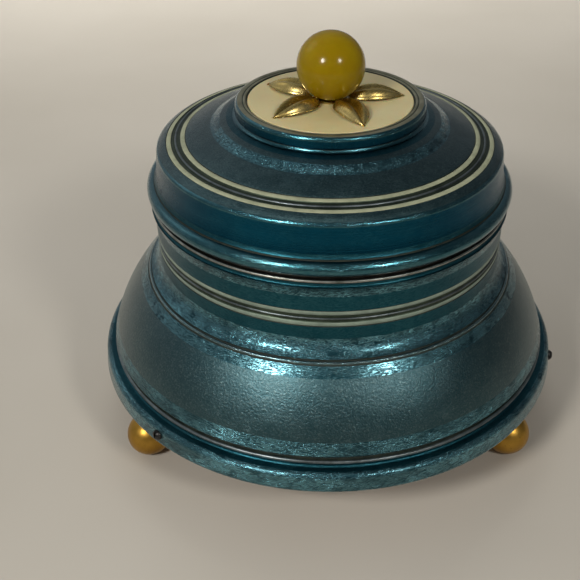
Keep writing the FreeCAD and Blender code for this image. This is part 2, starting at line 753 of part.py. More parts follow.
def great_wheel():
    """The wheel on the barrel, with upright teeth round its face that drive the cylinder."""
    outer = great_pitch_radius + great_tooth_length / 2
    inner = great_pitch_radius - great_tooth_length / 2
    wheel = disc(outer, great_z, great_face_z)
    root_half = tooth_pitch / 4 - mesh_gap / 4
    tip_half = root_half * 0.55
    section = Part.makePolygon([V(inner, -root_half, great_face_z - 0.1), V(inner, root_half, great_face_z - 0.1),
                                V(inner, tip_half, great_face_z + great_tooth_height),
                                V(inner, -tip_half, great_face_z + great_tooth_height),
                                V(inner, -root_half, great_face_z - 0.1)])
    tooth = Part.Face(section).extrude(V(outer - inner - 0.05, 0, 0))
    teeth = [turned_about(tooth, (i + 0.5) * 360 / great_teeth) for i in range(great_teeth)]
    whole = wheel.multiFuse(teeth)
    whole = whole.cut(disc(arbor_radius + running, great_z - past, great_face_z + past))
    whole.translate(V(arbor_x, arbor_y, 0))
    return whole


def mainspring():
    """The flat spring, coiled in the barrel between the arbor and the drum."""
    inner = arbor_radius + 0.8
    outer = barrel_radius - barrel_wall - 0.4
    low = barrel_z + barrel_wall + 0.3
    steps = spring_turns * 24
    sides = ([], [])
    for i in range(steps + 1):
        share = i / steps
        turn = 2 * math.pi * spring_turns * share
        radius = inner + (outer - inner) * share
        for side, offset in zip(sides, (-spring_leaf / 2, spring_leaf / 2)):
            side.append(V(arbor_x + (radius + offset) * math.cos(turn),
                          arbor_y + (radius + offset) * math.sin(turn), low))
    curves = []
    for side in sides:
        curve = Part.BSplineCurve()
        curve.interpolate(side)
        curves.append(curve.toShape())
    ends = [Part.LineSegment(sides[0][k], sides[1][k]).toShape() for k in (0, -1)]
    face = Part.Face(Part.Wire(Part.__sortEdges__(curves + ends)))
    return face.extrude(V(0, 0, great_z - low - 0.3))


def winding_arbor():
    low = board_z - key_gap - key_drop * 0.6
    high = bridge_levels()[1]
    return disc(arbor_radius, low, high, arbor_x, arbor_y)


def ratchet_wheel():
    """A saw-toothed wheel on the arbor, under the barrel."""
    points = []
    for i in range(ratchet_teeth):
        turn = 2 * math.pi * i / ratchet_teeth
        following = 2 * math.pi * (i + 1) / ratchet_teeth
        points.append(V(ratchet_radius * math.cos(turn), ratchet_radius * math.sin(turn), 0))
        points.append(V(0.82 * ratchet_radius * math.cos(following - 0.02),
                        0.82 * ratchet_radius * math.sin(following - 0.02), 0))
    points.append(points[0])
    wheel = Part.Face(Part.makePolygon(points)).extrude(V(0, 0, barrel_lift - 0.5))
    wheel.translate(V(arbor_x, arbor_y, plate_top_z + 0.2))
    return wheel.cut(disc(arbor_radius, plate_top_z - past, barrel_z + past, arbor_x, arbor_y))


def winding_key():
    """The butterfly key under the board: a hub on the arbor and two rounded wings."""
    top = board_z - key_gap
    low = top - key_drop
    hub = disc(key_hub_radius, top - 0.6 * key_drop, top)
    wings = []
    for side in (1, -1):
        wing = Part.makeCylinder(0.5 * key_drop, key_thickness,
                                 V(side * (key_width / 2 - 0.5 * key_drop), -key_thickness / 2,
                                   top - 0.5 * key_drop), V(0, 1, 0))
        eye = Part.makeCylinder(0.22 * key_drop, key_thickness + 2,
                                V(side * (key_width / 2 - 0.5 * key_drop), -key_thickness / 2 - past,
                                  top - 0.5 * key_drop), V(0, 1, 0))
        x0, x1 = sorted((0.0, side * (key_width / 2 - 0.5 * key_drop)))
        web = block(x0, x1, -key_thickness / 2, key_thickness / 2, low + 0.25 * key_drop, top - 0.25 * key_drop)
        wings.append(wing.fuse(web).cut(eye))
    key = fused([hub] + wings)
    key.translate(V(arbor_x, arbor_y, 0))
    return key.cut(winding_arbor())


def cylinder_drum():
    """The cylinder with its shaft, which runs from the bridge's ear to the far post."""
    ear_x = pinion_x - great_tooth_length / 2 - ear_gap - bracket_wall
    drum = rod_x(cylinder_radius, cylinder_x0, cylinder_x1, 0, cylinder_z)
    shaft = rod_x(cylinder_shaft, ear_x, post_x + bracket_wall, 0, cylinder_z)
    return drum.fuse(shaft).removeSplitter()


def tune_pins():
    """Short pins that stand out of the cylinder in even rings, one ring to each tooth."""
    pitch = cylinder_length / pin_rings
    drum = rod_x(cylinder_radius, cylinder_x0, cylinder_x1, 0, cylinder_z)
    pins = []
    for ring_number in range(pin_rings):
        x = cylinder_x0 + (ring_number + 0.5) * pitch
        for number in range(pins_per_ring):
            turn = 360 * (number / pins_per_ring + 0.137 * ring_number * ring_number)
            pin = Part.makeCylinder(pin_radius, 1 + pin_height, V(x, 0, cylinder_z + cylinder_radius - 1))
            pins.append(turned_about(pin, turn, V(0, 0, cylinder_z), V(1, 0, 0)).cut(drum))
    return Part.makeCompound(pins)


def cylinder_pinion():
    """The pinion in mesh with the great wheel's upright teeth."""
    width = tooth_pitch / 2 - mesh_gap
    gear = toothed_disc(pinion_teeth, pinion_outer, pinion_root, 0.5 * width, 1.1 * width, pinion_length)
    gear = gear.cut(disc(cylinder_shaft, -past, pinion_length + past))
    return on_x_axis(gear, pinion_x - pinion_length / 2, 0, cylinder_z)


def train_wheel():
    """The wheel at the cylinder's far end, which drives the governor's pinion."""
    root = train_radius - 1.25 * train_module
    outer = train_radius + train_module
    half_pitch = math.pi * train_module / 2
    gear = toothed_disc(train_teeth, outer, root, 0.45 * half_pitch, 1.15 * half_pitch, train_thickness)
    gear = gear.cut(disc(cylinder_shaft, -past, train_thickness + past))
    return on_x_axis(turned_about(gear, 90), train_x, 0, cylinder_z)


def governor_pinion():
    root = train_pinion_radius - 1.25 * train_module
    outer = train_pinion_radius + 0.9 * train_module
    half_pitch = math.pi * train_module / 2
    gear = toothed_disc(train_pinion_teeth, outer, root, 0.4 * half_pitch, 0.8 * half_pitch, train_thickness)
    gear = turned_about(gear, 180 / train_pinion_teeth + 90)
    gear = gear.cut(disc(fan_shaft, -past, train_thickness + past))
    return on_x_axis(gear, train_x, governor_y, cylinder_z)


def governor_wheel():
    """The worm wheel and its shaft, between the bracket's cheeks."""
    thickness = 1.0
    depth = worm_depth
    gear = toothed_disc(worm_wheel_teeth, worm_wheel_radius + depth - 0.1, worm_wheel_radius - depth - mesh_gap,
                        0.3 * worm_pitch, 0.55 * worm_pitch, thickness)
    gear = turned_about(gear, 90)
    gear = on_x_axis(gear, worm_x - thickness / 2, governor_y, cylinder_z)
    shaft = rod_x(fan_shaft, cylinder_x1 - 4.0, governor_end_x, governor_y, cylinder_z)
    return gear.fuse(shaft).removeSplitter()


def worm_shaft():
    """The worm and the upright shaft it is cut on."""
    shaft = disc(fan_shaft, worm_low_z - 2.0, stop_disc_z + stop_disc_thickness, worm_x, worm_y)
    core = disc(worm_radius - worm_depth, worm_low_z, worm_high_z, worm_x, worm_y)
    height = worm_high_z - worm_low_z - worm_pitch
    helix = Part.makeHelix(worm_pitch, height, worm_radius)
    start = 0.18 * worm_pitch
    tip = 0.1 * worm_pitch
    inner = worm_radius - worm_depth - 0.1
    outer = worm_radius + worm_depth
    section = Part.makePolygon([V(inner, 0, -start), V(outer, 0, -tip), V(outer, 0, tip), V(inner, 0, start),
                                V(inner, 0, -start)])
    thread = Part.Wire(helix).makePipeShell([section], True, True)
    thread = turned_about(thread, worm_phase())
    thread.translate(V(worm_x, worm_y, worm_low_z + worm_pitch / 2))
    return fused([shaft, core, thread])


def worm_phase():
    """Turn of the thread that puts a space, not a crest, where the wheel's tooth points at it."""
    start_z = worm_low_z + worm_pitch / 2
    turns_to_mesh = (cylinder_z - start_z) / worm_pitch - 0.5
    return -90 - 360 * turns_to_mesh


def governor_fan():
    """Two thin vanes and a hub on the worm's shaft."""
    hub = disc(1.1, fan_z, fan_z + fan_height)
    vanes = block(-fan_radius, fan_radius, -0.15, 0.15, fan_z, fan_z + fan_height)
    fan = fused([hub, vanes])
    fan.translate(V(worm_x, worm_y, 0))
    return fan.cut(disc(fan_shaft, fan_z - past, fan_z + fan_height + past, worm_x, worm_y))


def stop_disc():
    return ring(stop_disc_radius, fan_shaft, stop_disc_z, stop_disc_z + stop_disc_thickness, worm_x, worm_y)


# ---------------------------------------------------------------- music stop
def stop_plunger():
    """The rod that the closed lid holds down; a light spring lifts it as the lid comes off."""
    low = guide_z - bracket_wall - stop_travel
    head_low = plunger_top_z - plunger_head_height
    rod = disc(plunger_radius, low, plunger_top_z, plunger_x, plunger_y)
    head = disc(plunger_head_radius, head_low, plunger_top_z, plunger_x, plunger_y)
    return rod.fuse(head).removeSplitter()


def stop_finger():
    """The finger on the plunger, which bears on the disc of the governor when the lid is shut."""
    reach = plunger_circle - math.hypot(worm_x, worm_y)
    arm = block(-reach - 1.2, 0, -0.8, 0.8, finger_z, finger_z + finger_height)
    hub = disc(plunger_radius + 1.0, finger_z, finger_z + finger_height)
    finger = fused([arm, hub]).cut(disc(plunger_radius, finger_z - past, finger_z + finger_height + past))
    finger.rotate(ORIGIN, UP, plunger_angle)
    finger.translate(V(plunger_x, plunger_y, 0))
    return finger


def plunger_spring():
    """The light coil spring between the guide and the finger."""
    low = guide_z + bracket_wall / 2 + spring_wire + 0.02
    high = finger_z - spring_wire - 0.02
    radius = plunger_radius + 0.35 + spring_wire
    helix = Part.makeHelix((high - low) / 5, high - low, radius)
    section = Part.Wire(Part.makeCircle(spring_wire, V(radius, 0, 0), V(0, 1, 0)))
    coil = Part.Wire(helix).makePipeShell([section], True, True)
    coil.translate(V(plunger_x, plunger_y, low))
    return coil


# ---------------------------------------------------------------- build
os.makedirs("parts", exist_ok=True)
pieces = {
    "body_shell": body_shell, "base_board": base_board, "base_screws": base_screws,
    "foot_screws": foot_screws, "powder_cup": powder_cup, "plunger_bush": plunger_bush,
    "lid_shell": lid_shell, "medallion_disc": medallion_disc, "leaf_rosette": leaf_rosette,
    "knob_ball": knob_ball, "knob_washer": knob_washer, "knob_screw": knob_screw,
    "movement_plate": movement_plate, "plate_screws": plate_screws, "barrel_bridge": barrel_bridge,
    "bridge_screws": bridge_screws, "cylinder_post": cylinder_post, "comb_base": comb_base,
    "comb": comb, "comb_screws": comb_screws, "governor_bracket": governor_bracket,
    "ratchet_click": ratchet_click, "spring_barrel": spring_barrel, "great_wheel": great_wheel,
    "mainspring": mainspring, "winding_arbor": winding_arbor, "ratchet_wheel": ratchet_wheel,
    "winding_key": winding_key, "cylinder_drum": cylinder_drum, "tune_pins": tune_pins,
    "cylinder_pinion": cylinder_pinion, "train_wheel": train_wheel, "governor_pinion": governor_pinion,
    "governor_wheel": governor_wheel, "worm_shaft": worm_shaft, "governor_fan": governor_fan,
    "stop_disc": stop_disc, "stop_plunger": stop_plunger, "stop_finger": stop_finger,
    "plunger_spring": plunger_spring,
}
for name, make in pieces.items():
    export(name, make())
for number, angle in enumerate(foot_angles(), 1):
    export("ball_foot_%d" % number, ball_foot(angle))
print("cylinder axis z", round(cylinder_z, 3), "arbor", arbor_x, "worm", round(worm_x, 3), round(worm_y, 3),
      "governor y", round(governor_y, 3), "plunger", round(plunger_x, 3), round(plunger_y, 3))
print("levels: body top", round(body_top_z, 2), "lid", round(lid_z, 2), "cup bottom", round(cup_bottom_z, 2),
      "finger", round(finger_z, 2), "knob", round(knob_z, 2), "top", round(knob_z + knob_radius, 2))
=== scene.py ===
import math

import bpy
import numpy as np
from mathutils import Matrix, Vector


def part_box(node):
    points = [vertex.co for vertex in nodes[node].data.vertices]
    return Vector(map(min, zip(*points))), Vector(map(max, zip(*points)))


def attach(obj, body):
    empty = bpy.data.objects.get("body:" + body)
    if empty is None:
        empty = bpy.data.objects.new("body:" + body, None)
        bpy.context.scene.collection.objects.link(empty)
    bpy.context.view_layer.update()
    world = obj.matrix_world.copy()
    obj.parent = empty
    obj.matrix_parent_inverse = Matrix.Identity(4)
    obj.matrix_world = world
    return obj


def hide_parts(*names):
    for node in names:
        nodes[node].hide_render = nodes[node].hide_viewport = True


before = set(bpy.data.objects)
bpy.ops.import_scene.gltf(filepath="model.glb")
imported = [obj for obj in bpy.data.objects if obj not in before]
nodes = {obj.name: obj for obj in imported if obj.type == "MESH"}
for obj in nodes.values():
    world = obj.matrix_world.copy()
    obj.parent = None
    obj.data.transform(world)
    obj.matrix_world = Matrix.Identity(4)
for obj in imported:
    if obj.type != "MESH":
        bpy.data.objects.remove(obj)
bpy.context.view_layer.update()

MM = 0.001
FULL_TURN = 2 * math.pi

# ------------------------------------------------------------------ places from the frame
body_low, body_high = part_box("body_shell")
lid_low, lid_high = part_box("lid_shell")
disc_low, disc_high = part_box("medallion_disc")
knob_low, knob_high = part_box("knob_ball")
leaves_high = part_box("leaf_rosette")[1]
cup_low, cup_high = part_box("powder_cup")

# All outlines are in millimetres.
BASE_R = body_high.x / MM
EDGE_Z = body_low.z / MM             # the bottom edge of the band
TOP_Z = body_high.z / MM             # the top of the body
BEAD_R = lid_high.x / MM             # the bead round the lid's mouth
BEAD_OUT = 1.7                       # how far the bead stands out from the neck
NECK_R = BEAD_R - BEAD_OUT
LID_Z = lid_low.z / MM
LID_SIDE_R = NECK_R - 1.9            # the lid's upright side, at its top
LID_BORE_R = NECK_R - 1.05           # the lid's mouth, inside
DISC_R = disc_high.x / MM
DISC_Z = disc_high.z / MM
DISC_SEAT = 0.8                      # how deep the disc sits in the boss
DISC_ROOM = 0.15                     # between the disc and the boss's ring
KNOB_R = knob_high.x / MM
WALL = 1.2                           # the shells' thickness
SCREW_HOLE_R = 1.5                   # the knob screw's hole

# How many steps each kind of piece is turned in.
SHELL_STEPS, CUP_STEPS, KNOB_STEPS, FOOT_STEPS, HUB_STEPS = 256, 192, 128, 96, 64
MERGE_WITHIN = 0.004 * MM


# ------------------------------------------------------------------ modelling helpers
def nothing_selected():
    if bpy.context.mode != "OBJECT":
        bpy.ops.object.mode_set(mode="OBJECT")
    bpy.ops.object.select_all(action="DESELECT")


def only(piece):
    nothing_selected()
    piece.select_set(True)
    bpy.context.view_layer.objects.active = piece


def apply_modifiers(piece):
    only(piece)
    for modifier in list(piece.modifiers):
        bpy.ops.object.modifier_apply(modifier=modifier.name)


def smooth(piece, degrees=35):
    only(piece)
    bpy.ops.object.shade_smooth_by_angle(angle=math.radians(degrees))


def arc(start, middle, end, steps=6):
    """Points after start on the round stretch through middle to end."""
    (ax, ay), (bx, by), (cx, cy) = start, middle, end
    d = 2 * (ax * (by - cy) + bx * (cy - ay) + cx * (ay - by))
    if abs(d) < 1e-6:
        return [(ax + (cx - ax) * i / steps, ay + (cy - ay) * i / steps) for i in range(1, steps + 1)]
    ux = ((ax**2 + ay**2) * (by - cy) + (bx**2 + by**2) * (cy - ay) + (cx**2 + cy**2) * (ay - by)) / d
    uy = ((ax**2 + ay**2) * (cx - bx) + (bx**2 + by**2) * (ax - cx) + (cx**2 + cy**2) * (bx - ax)) / d
    radius = math.hypot(ax - ux, ay - uy)
    first = math.atan2(ay - uy, ax - ux)
    through = (math.atan2(by - uy, bx - ux) - first) % FULL_TURN
    last = (math.atan2(cy - uy, cx - ux) - first) % FULL_TURN
    sweep = last if through < last else last - FULL_TURN
    return [(ux + radius * math.cos(first + sweep * i / steps),
             uy + radius * math.sin(first + sweep * i / steps)) for i in range(1, steps + 1)]


class Outline:
    """A turning outline in millimetres: radius out, height up, each stretch with its finish."""

    def __init__(self, r, z):
        self.points = [(r, z)]
        self.finishes = []

    def line(self, r, z, finish, steps=1):
        r0, z0 = self.points[-1]
        for i in range(1, steps + 1):
            self.points.append((r0 + (r - r0) * i / steps, z0 + (z - z0) * i / steps))
            self.finishes.append(finish)
        return self

    def bend(self, middle, end, finish, steps=6):
        for point in arc(self.points[-1], middle, end, steps):
            self.points.append(point)
            self.finishes.append(finish)
        return self


def turn(name, outline, steps, centre=(0.0, 0.0)):
    """Turn an outline about an upright axis, and give each stretch its finish."""
    nothing_selected()
    points = [(r * MM, z * MM) for r, z in outline.points]
    x0, y0 = centre
    bpy.ops.mesh.primitive_plane_add(size=MM, location=(x0 + points[0][0], y0, points[0][1]))
    piece = bpy.context.object
    piece.name = name
    bpy.ops.object.transform_apply(location=True)
    bpy.ops.object.mode_set(mode="EDIT")
    bpy.ops.mesh.select_all(action="SELECT")
    bpy.ops.mesh.merge(type="CENTER")
    for here, following in zip(points, points[1:]):
        step = (following[0] - here[0], 0, following[1] - here[1])
        bpy.ops.mesh.extrude_region_move(TRANSFORM_OT_translate={"value": step})
    bpy.ops.mesh.select_all(action="SELECT")
    bpy.ops.mesh.spin(steps=steps, angle=FULL_TURN, center=(x0, y0, 0), axis=(0, 0, 1))
    bpy.ops.mesh.select_all(action="SELECT")
    bpy.ops.mesh.remove_doubles(threshold=MERGE_WITHIN)
    bpy.ops.mesh.normals_make_consistent(inside=False)
    bpy.ops.object.mode_set(mode="OBJECT")
    paint_stretches(piece, outline, centre)
    smooth(piece)
    return piece


def paint_stretches(piece, outline, centre):
    """Give each face the finish of the outline's stretch that it was turned from."""
    names = sorted(set(outline.finishes))
    for finish in names:
        piece.data.materials.append(materials[finish])
    mesh = piece.data
    centres = np.empty(len(mesh.polygons) * 3)
    mesh.polygons.foreach_get("center", centres)
    centres = centres.reshape(-1, 3) / MM
    radius = np.hypot(centres[:, 0] - centre[0] / MM, centres[:, 1] - centre[1] / MM)
    ends = np.array(outline.points)
    middles = (ends[:-1] + ends[1:]) / 2
    away = (radius[:, None] - middles[None, :, 0]) ** 2 + (centres[:, 2][:, None] - middles[None, :, 1]) ** 2
    nearest = np.argmin(away, axis=1)
    index = np.array([names.index(f) for f in outline.finishes])[nearest]
    mesh.polygons.foreach_set("material_index", index.astype(np.int32))
    mesh.update()


# ------------------------------------------------------------------ material helpers
MARK_RADIUS = 55 * MM                # where marks on turned work have their true length


class Finish:
    """A material being built: its node tree, its shader and short ways to add nodes."""

    def __init__(self, name, **sockets):
        self.material = bpy.data.materials.new(name)
        self.material.use_nodes = True
        self.tree = self.material.node_tree
        self.shader = self.tree.nodes["Principled BSDF"]
        for socket, value in sockets.items():
            self.shader.inputs[socket.replace("_", " ")].default_value = value

    def wire(self, socket, value):
        """Link another node's output to a socket, or set the socket's own value."""
        if isinstance(value, bpy.types.NodeSocket):
            self.tree.links.new(value, socket)
        else:
            socket.default_value = value

    def add(self, kind, settings=None, **inputs):
        made = self.tree.nodes.new(kind)
        for key, value in (settings or {}).items():
            setattr(made, key, value)
        for key, value in inputs.items():
            self.wire(made.inputs[key.replace("_", " ")], value)
        return made

    def set(self, socket, value):
        self.wire(self.shader.inputs[socket], value)

    def maths(self, operation, a, b=0.0):
        made = self.add("ShaderNodeMath", {"operation": operation})
        self.wire(made.inputs[0], a)
        self.wire(made.inputs[1], b)
        return made.outputs[0]

    def place(self):
        return self.add("ShaderNodeTexCoord").outputs["Object"]

    def turned_place(self):
        """Along the turning, up the outline, and nothing: coordinates for marks on turned work."""
        x, y, z = self.add("ShaderNodeSeparateXYZ", Vector=self.place()).outputs
        angle = self.maths("ARCTAN2", x, self.maths("MULTIPLY", y, -1.0))
        squares = self.maths("ADD", self.maths("MULTIPLY", x, x), self.maths("MULTIPLY", y, y))
        along = self.maths("MULTIPLY", angle, MARK_RADIUS)
        up = self.maths("SUBTRACT", z, self.maths("SQRT", squares))
        return self.add("ShaderNodeCombineXYZ", X=along, Y=up).outputs[0]

    def noise(self, vector, scale, detail=3.0, roughness=0.55, turn=0.0, stretch=(1.0, 1.0, 1.0)):
        """Noise of about one feature per 1/scale metres, turned and stretched on its plane."""
        mapped = self.add("ShaderNodeMapping", {"vector_type": "TEXTURE"}, Vector=vector,
                          Rotation=(0.0, 0.0, turn), Scale=tuple(1 / s for s in stretch))
        return self.add("ShaderNodeTexNoise", Vector=mapped.outputs[0], Scale=scale, Detail=detail,
                        Roughness=roughness).outputs["Fac"]

    def ramp(self, value, stops):
        made = self.add("ShaderNodeValToRGB", Fac=value)
        elements = made.color_ramp.elements
        while len(elements) < len(stops):
            elements.new(0.5)
        for element, (position, colour) in zip(elements, stops):
            element.position = position
            element.color = (*colour, 1.0)
        return made.outputs["Color"]

    def levels(self, value, low, high, to_low=0.0, to_high=1.0):
        return self.add("ShaderNodeMapRange", Value=value, From_Min=low, From_Max=high,
                        To_Min=to_low, To_Max=to_high).outputs[0]

    def mix(self, factor, a, b):
        made = self.add("ShaderNodeMix", {"data_type": "RGBA"})
        for i, value in ((0, factor), (6, a), (7, b)):       # the node's sockets for factor and colours
            self.wire(made.inputs[i], (*value, 1.0) if isinstance(value, tuple) else value)
        return made.outputs[2]

    def bump(self, height, distance, strength=1.0):
        return self.add("ShaderNodeBump", Height=height, Distance=distance, Strength=strength).outputs[0]


def scaled(colour, share, lift=0.0):
    return tuple(share * c + lift for c in colour)


# Each run of brushing: its slant, strokes per metre, fineness across, and clumps per metre.
BRUSHINGS = ((0.16, 480, 6.5, 210), (-0.24, 520, 6.5, 240), (0.50, 680, 5.5, 280), (-0.04, 440, 8.0, 190))


def brush_strokes(finish, surface):
    """Short fine strokes, mostly along the turning and crossing at small angles."""
    hatch = None
    for slant, scale, fineness, clump_scale in BRUSHINGS:
        strands = finish.noise(surface, scale, 1.5, 0.55, turn=slant, stretch=(1.0, fineness, 1.0))
        clumps = finish.levels(finish.noise(surface, clump_scale, 2, 0.5, turn=slant), 0.42, 0.52)
        field = finish.maths("MULTIPLY", finish.levels(strands, 0.50, 0.59), clumps)
        hatch = field if hatch is None else finish.maths("MAXIMUM", hatch, field)
    return hatch


def teal_metal(name, dark, light, roughness, strokes, grain, lines, coat, coat_roughness):
    """Dyed aluminium. strokes is how strongly it is scratch-brushed, grain its fine tooth,
    lines its turning lines, and the coat its clear lacquer."""
    finish = Finish(name, Metallic=1.0, Coat_Weight=coat, Coat_Roughness=coat_roughness, Coat_IOR=1.6)
    surface = finish.turned_place()
    place = finish.place()
    hatch = brush_strokes(finish, surface)
    cluster_noise = finish.noise(surface, 90, 3, 0.6, stretch=(1.0, 1.6, 1.0))
    marks = finish.maths("MULTIPLY", hatch, finish.levels(cluster_noise, 0.34, 0.62, 0.35, 1.0))
    tooth = finish.noise(place, 1800, 2.0, 0.7)
    patches = finish.noise(place, 34, 4, 0.62)
    rings = finish.noise(surface, 520, 2, 0.6, stretch=(0.012, 5.0, 1.0))
    scuff_noise = finish.noise(surface, 160, 3, 0.6, turn=0.06, stretch=(0.3, 10.0, 1.0))
    scuffs = finish.levels(scuff_noise, 0.60, 0.74)
    colour = finish.mix(finish.maths("MULTIPLY", marks, strokes), dark, light)
    colour = finish.mix(finish.levels(patches, 0.38, 0.68, 0.0, 0.4), colour, scaled(dark, 0.55, 0.002))
    tooth_shown = finish.maths("MULTIPLY", finish.levels(tooth, 0.52, 0.8), 0.7 * grain)
    colour = finish.mix(tooth_shown, colour, light)
    colour = finish.mix(finish.maths("MULTIPLY", scuffs, 0.3 * lines), colour, light)
    colour = finish.mix(finish.levels(rings, 0.4, 0.62, 0.0, 0.35 * lines), colour, scaled(dark, 0.6))
    finish.set("Base Color", colour)
    brushed = finish.levels(marks, 0.0, 1.0, roughness, roughness - 0.06 * strokes)
    finish.set("Roughness", finish.maths("ADD", brushed, finish.levels(patches, 0.3, 0.7, -0.02, 0.05)))
    height = finish.maths("ADD", finish.maths("MULTIPLY", marks, 0.8 * strokes),
                          finish.maths("MULTIPLY", tooth, 1.7 * grain))
    height = finish.maths("ADD", height, finish.maths("MULTIPLY", rings, lines))
    normal = finish.bump(height, 0.075 * MM)
    finish.set("Normal", normal)
    finish.set("Coat Normal", normal)
    return finish.material


def cream_paint(name, low, middle, high):
    """Old line paint, soiled in patches and rubbed thin in places."""
    finish = Finish(name, Coat_Weight=0.15, Coat_Roughness=0.3)
    place = finish.place()
    soil = finish.noise(place, 190, 5, 0.7)
    worn = finish.levels(finish.noise(place, 900, 4, 0.7), 0.58, 0.72)
    colour = finish.ramp(soil, [(0.3, low), (0.55, middle), (0.8, high)])
    finish.set("Base Color", finish.mix(finish.maths("MULTIPLY", worn, 0.35), colour, (0.16, 0.20, 0.17)))
    finish.set("Roughness", finish.levels(soil, 0.3, 0.7, 0.42, 0.58))
    finish.set("Normal", finish.bump(soil, 0.05 * MM, 0.5))
    return finish.material


# Painted shade: near-black colour for the grooves, gaps and recesses where shade falls, mottled at random.
def painted_groove_shade():
    finish = Finish("groove_painted_shade", Metallic=0.35)
    place = finish.place()
    shade_mottle = finish.noise(place, 320, 4, 0.7)
    finish.set("Base Color", finish.ramp(shade_mottle, [(0.35, (0.006, 0.012, 0.010)), (0.7, (0.028, 0.036, 0.026))]))
    finish.set("Roughness", finish.levels(shade_mottle, 0.3, 0.7, 0.45, 0.7))
    return finish.material


def bare_aluminium(name, bright, soiled, roughness):
    """Aluminium with the dye rubbed off, with brown-grey soil in its marks."""
    finish = Finish(name, Metallic=0.95)
    surface = finish.turned_place()
    place = finish.place()
    rings = finish.noise(surface, 300, 3, 0.6, stretch=(0.05, 8.0, 1.0))
    soil = finish.noise(place, 210, 5, 0.7)
    finish.set("Base Color", finish.mix(finish.levels(soil, 0.35, 0.7), bright, soiled))
    finish.set("Roughness", finish.levels(rings, 0.3, 0.7, roughness, roughness + 0.16))
    finish.set("Normal", finish.bump(rings, 0.05 * MM, 0.6))
    return finish.material


def spun_aluminium():
    """Plain spun aluminium inside the box, with its turning rings."""
    finish = Finish("spun_aluminium", Metallic=0.95)
    surface = finish.turned_place()
    rings = finish.noise(surface, 420, 4, 0.65, stretch=(0.03, 6.0, 1.0))
    cloud = finish.noise(finish.place(), 60, 4, 0.6)
    finish.set("Base Color", finish.ramp(cloud, [(0.3, (0.50, 0.50, 0.49)), (0.7, (0.64, 0.64, 0.63))]))
    finish.set("Roughness", finish.levels(rings, 0.3, 0.7, 0.28, 0.46))
    finish.set("Normal", finish.bump(rings, 0.06 * MM, 0.7))
    return finish.material


def ivory():
    """Ivory celluloid: warm, faintly clouded, with soft light inside it."""
    finish = Finish("ivory_celluloid", Coat_Weight=0.35, Coat_Roughness=0.12, Subsurface_Weight=0.25,
                    Subsurface_Scale=1.2 * MM)
    place = finish.place()
    cloud = finish.noise(place, 55, 4, 0.55)
    speck = finish.levels(finish.noise(place, 1300, 2, 0.5), 0.68, 0.76)
    colour = finish.ramp(cloud, [(0.25, (0.54, 0.45, 0.225)), (0.6, (0.62, 0.53, 0.28)),
                                 (0.85, (0.67, 0.59, 0.34))])
    finish.set("Base Color", finish.mix(finish.maths("MULTIPLY", speck, 0.4), colour, (0.35, 0.27, 0.14)))
    finish.set("Roughness", finish.levels(cloud, 0.3, 0.7, 0.34, 0.46))
    finish.set("Normal", finish.bump(cloud, 0.1 * MM, 0.25))
    return finish.material


def olive_resin():
    """Olive cast resin: glossy, deep, faintly streaked, with fine dust and handling marks."""
    finish = Finish("olive_resin", Coat_Weight=0.22, Coat_Roughness=0.03, Subsurface_Weight=0.12,
                    Subsurface_Scale=2.0 * MM, Specular_IOR_Level=0.12)
    place = finish.place()
    swirl = finish.noise(place, 70, 5, 0.6, stretch=(1.0, 1.6, 0.7))
    fine = finish.noise(place, 700, 3, 0.6)
    colour = finish.ramp(swirl, [(0.25, (0.200, 0.126, 0.0005)), (0.55, (0.255, 0.168, 0.001)),
                                 (0.8, (0.300, 0.215, 0.002))])
    finish.set("Base Color", colour)
    finish.set("Roughness", finish.levels(fine, 0.3, 0.7, 0.16, 0.26))
    finish.set("Normal", finish.bump(fine, 0.02 * MM, 0.25))
    return finish.material


# How brown a leaf is, from its rib to its edge, in shares of its whole width.
VEIN_PATINA = ((0.0, 0.0), (0.05, 0.8), (0.11, 0.6), (0.22, 0.0), (0.44, 0.0), (0.49, 0.4))


def gilt(name, light, dark, roughness, veined=False):
    """Gilt metal with its patina. A veined one is browner beside the rib and at the edges."""
    finish = Finish(name, Metallic=1.0)
    place = finish.place()
    cloud = finish.noise(place, 160, 5, 0.6)
    scratch = finish.noise(place, 900, 3, 0.6, turn=0.5, stretch=(1.0, 6.0, 1.0))
    pits = finish.levels(finish.noise(place, 1700, 2, 0.5), 0.66, 0.75)
    colour = finish.mix(finish.levels(cloud, 0.35, 0.7), light, dark)
    if veined:
        leaf_place = finish.add("ShaderNodeTexCoord").outputs["UV"]
        across = finish.add("ShaderNodeSeparateXYZ", Vector=leaf_place).outputs["Y"]
        from_rib = finish.maths("ABSOLUTE", finish.maths("SUBTRACT", across, 0.5))
        hollow = finish.ramp(from_rib, [(share, (depth,) * 3) for share, depth in VEIN_PATINA])
        worn = finish.levels(finish.noise(place, 420, 4, 0.65), 0.3, 0.6, 0.45, 1.0)
        colour = finish.mix(finish.maths("MULTIPLY", hollow, worn), colour, scaled(dark, 0.45))
    colour = finish.mix(finish.maths("MULTIPLY", pits, 0.5), colour, scaled(dark, 0.35))
    finish.set("Base Color", colour)
    scratched = finish.levels(scratch, 0.3, 0.7, roughness - 0.05, roughness + 0.07)
    finish.set("Roughness", finish.maths("ADD", scratched, finish.maths("MULTIPLY", pits, 0.15)))
    finish.set("Normal", finish.bump(finish.maths("ADD", scratch, cloud), 0.035 * MM, 0.5))
    return finish.material


def black_steel():
    finish = Finish("blackened_steel", Metallic=0.85)
    place = finish.place()
    rub = finish.noise(place, 900, 4, 0.65)
    finish.set("Base Color", finish.ramp(rub, [(0.35, (0.010, 0.010, 0.011)), (0.75, (0.07, 0.068, 0.065))]))
    finish.set("Roughness", finish.levels(rub, 0.3, 0.7, 0.28, 0.42))
    finish.set("Normal", finish.bump(rub, 0.03 * MM, 0.4))
    return finish.material


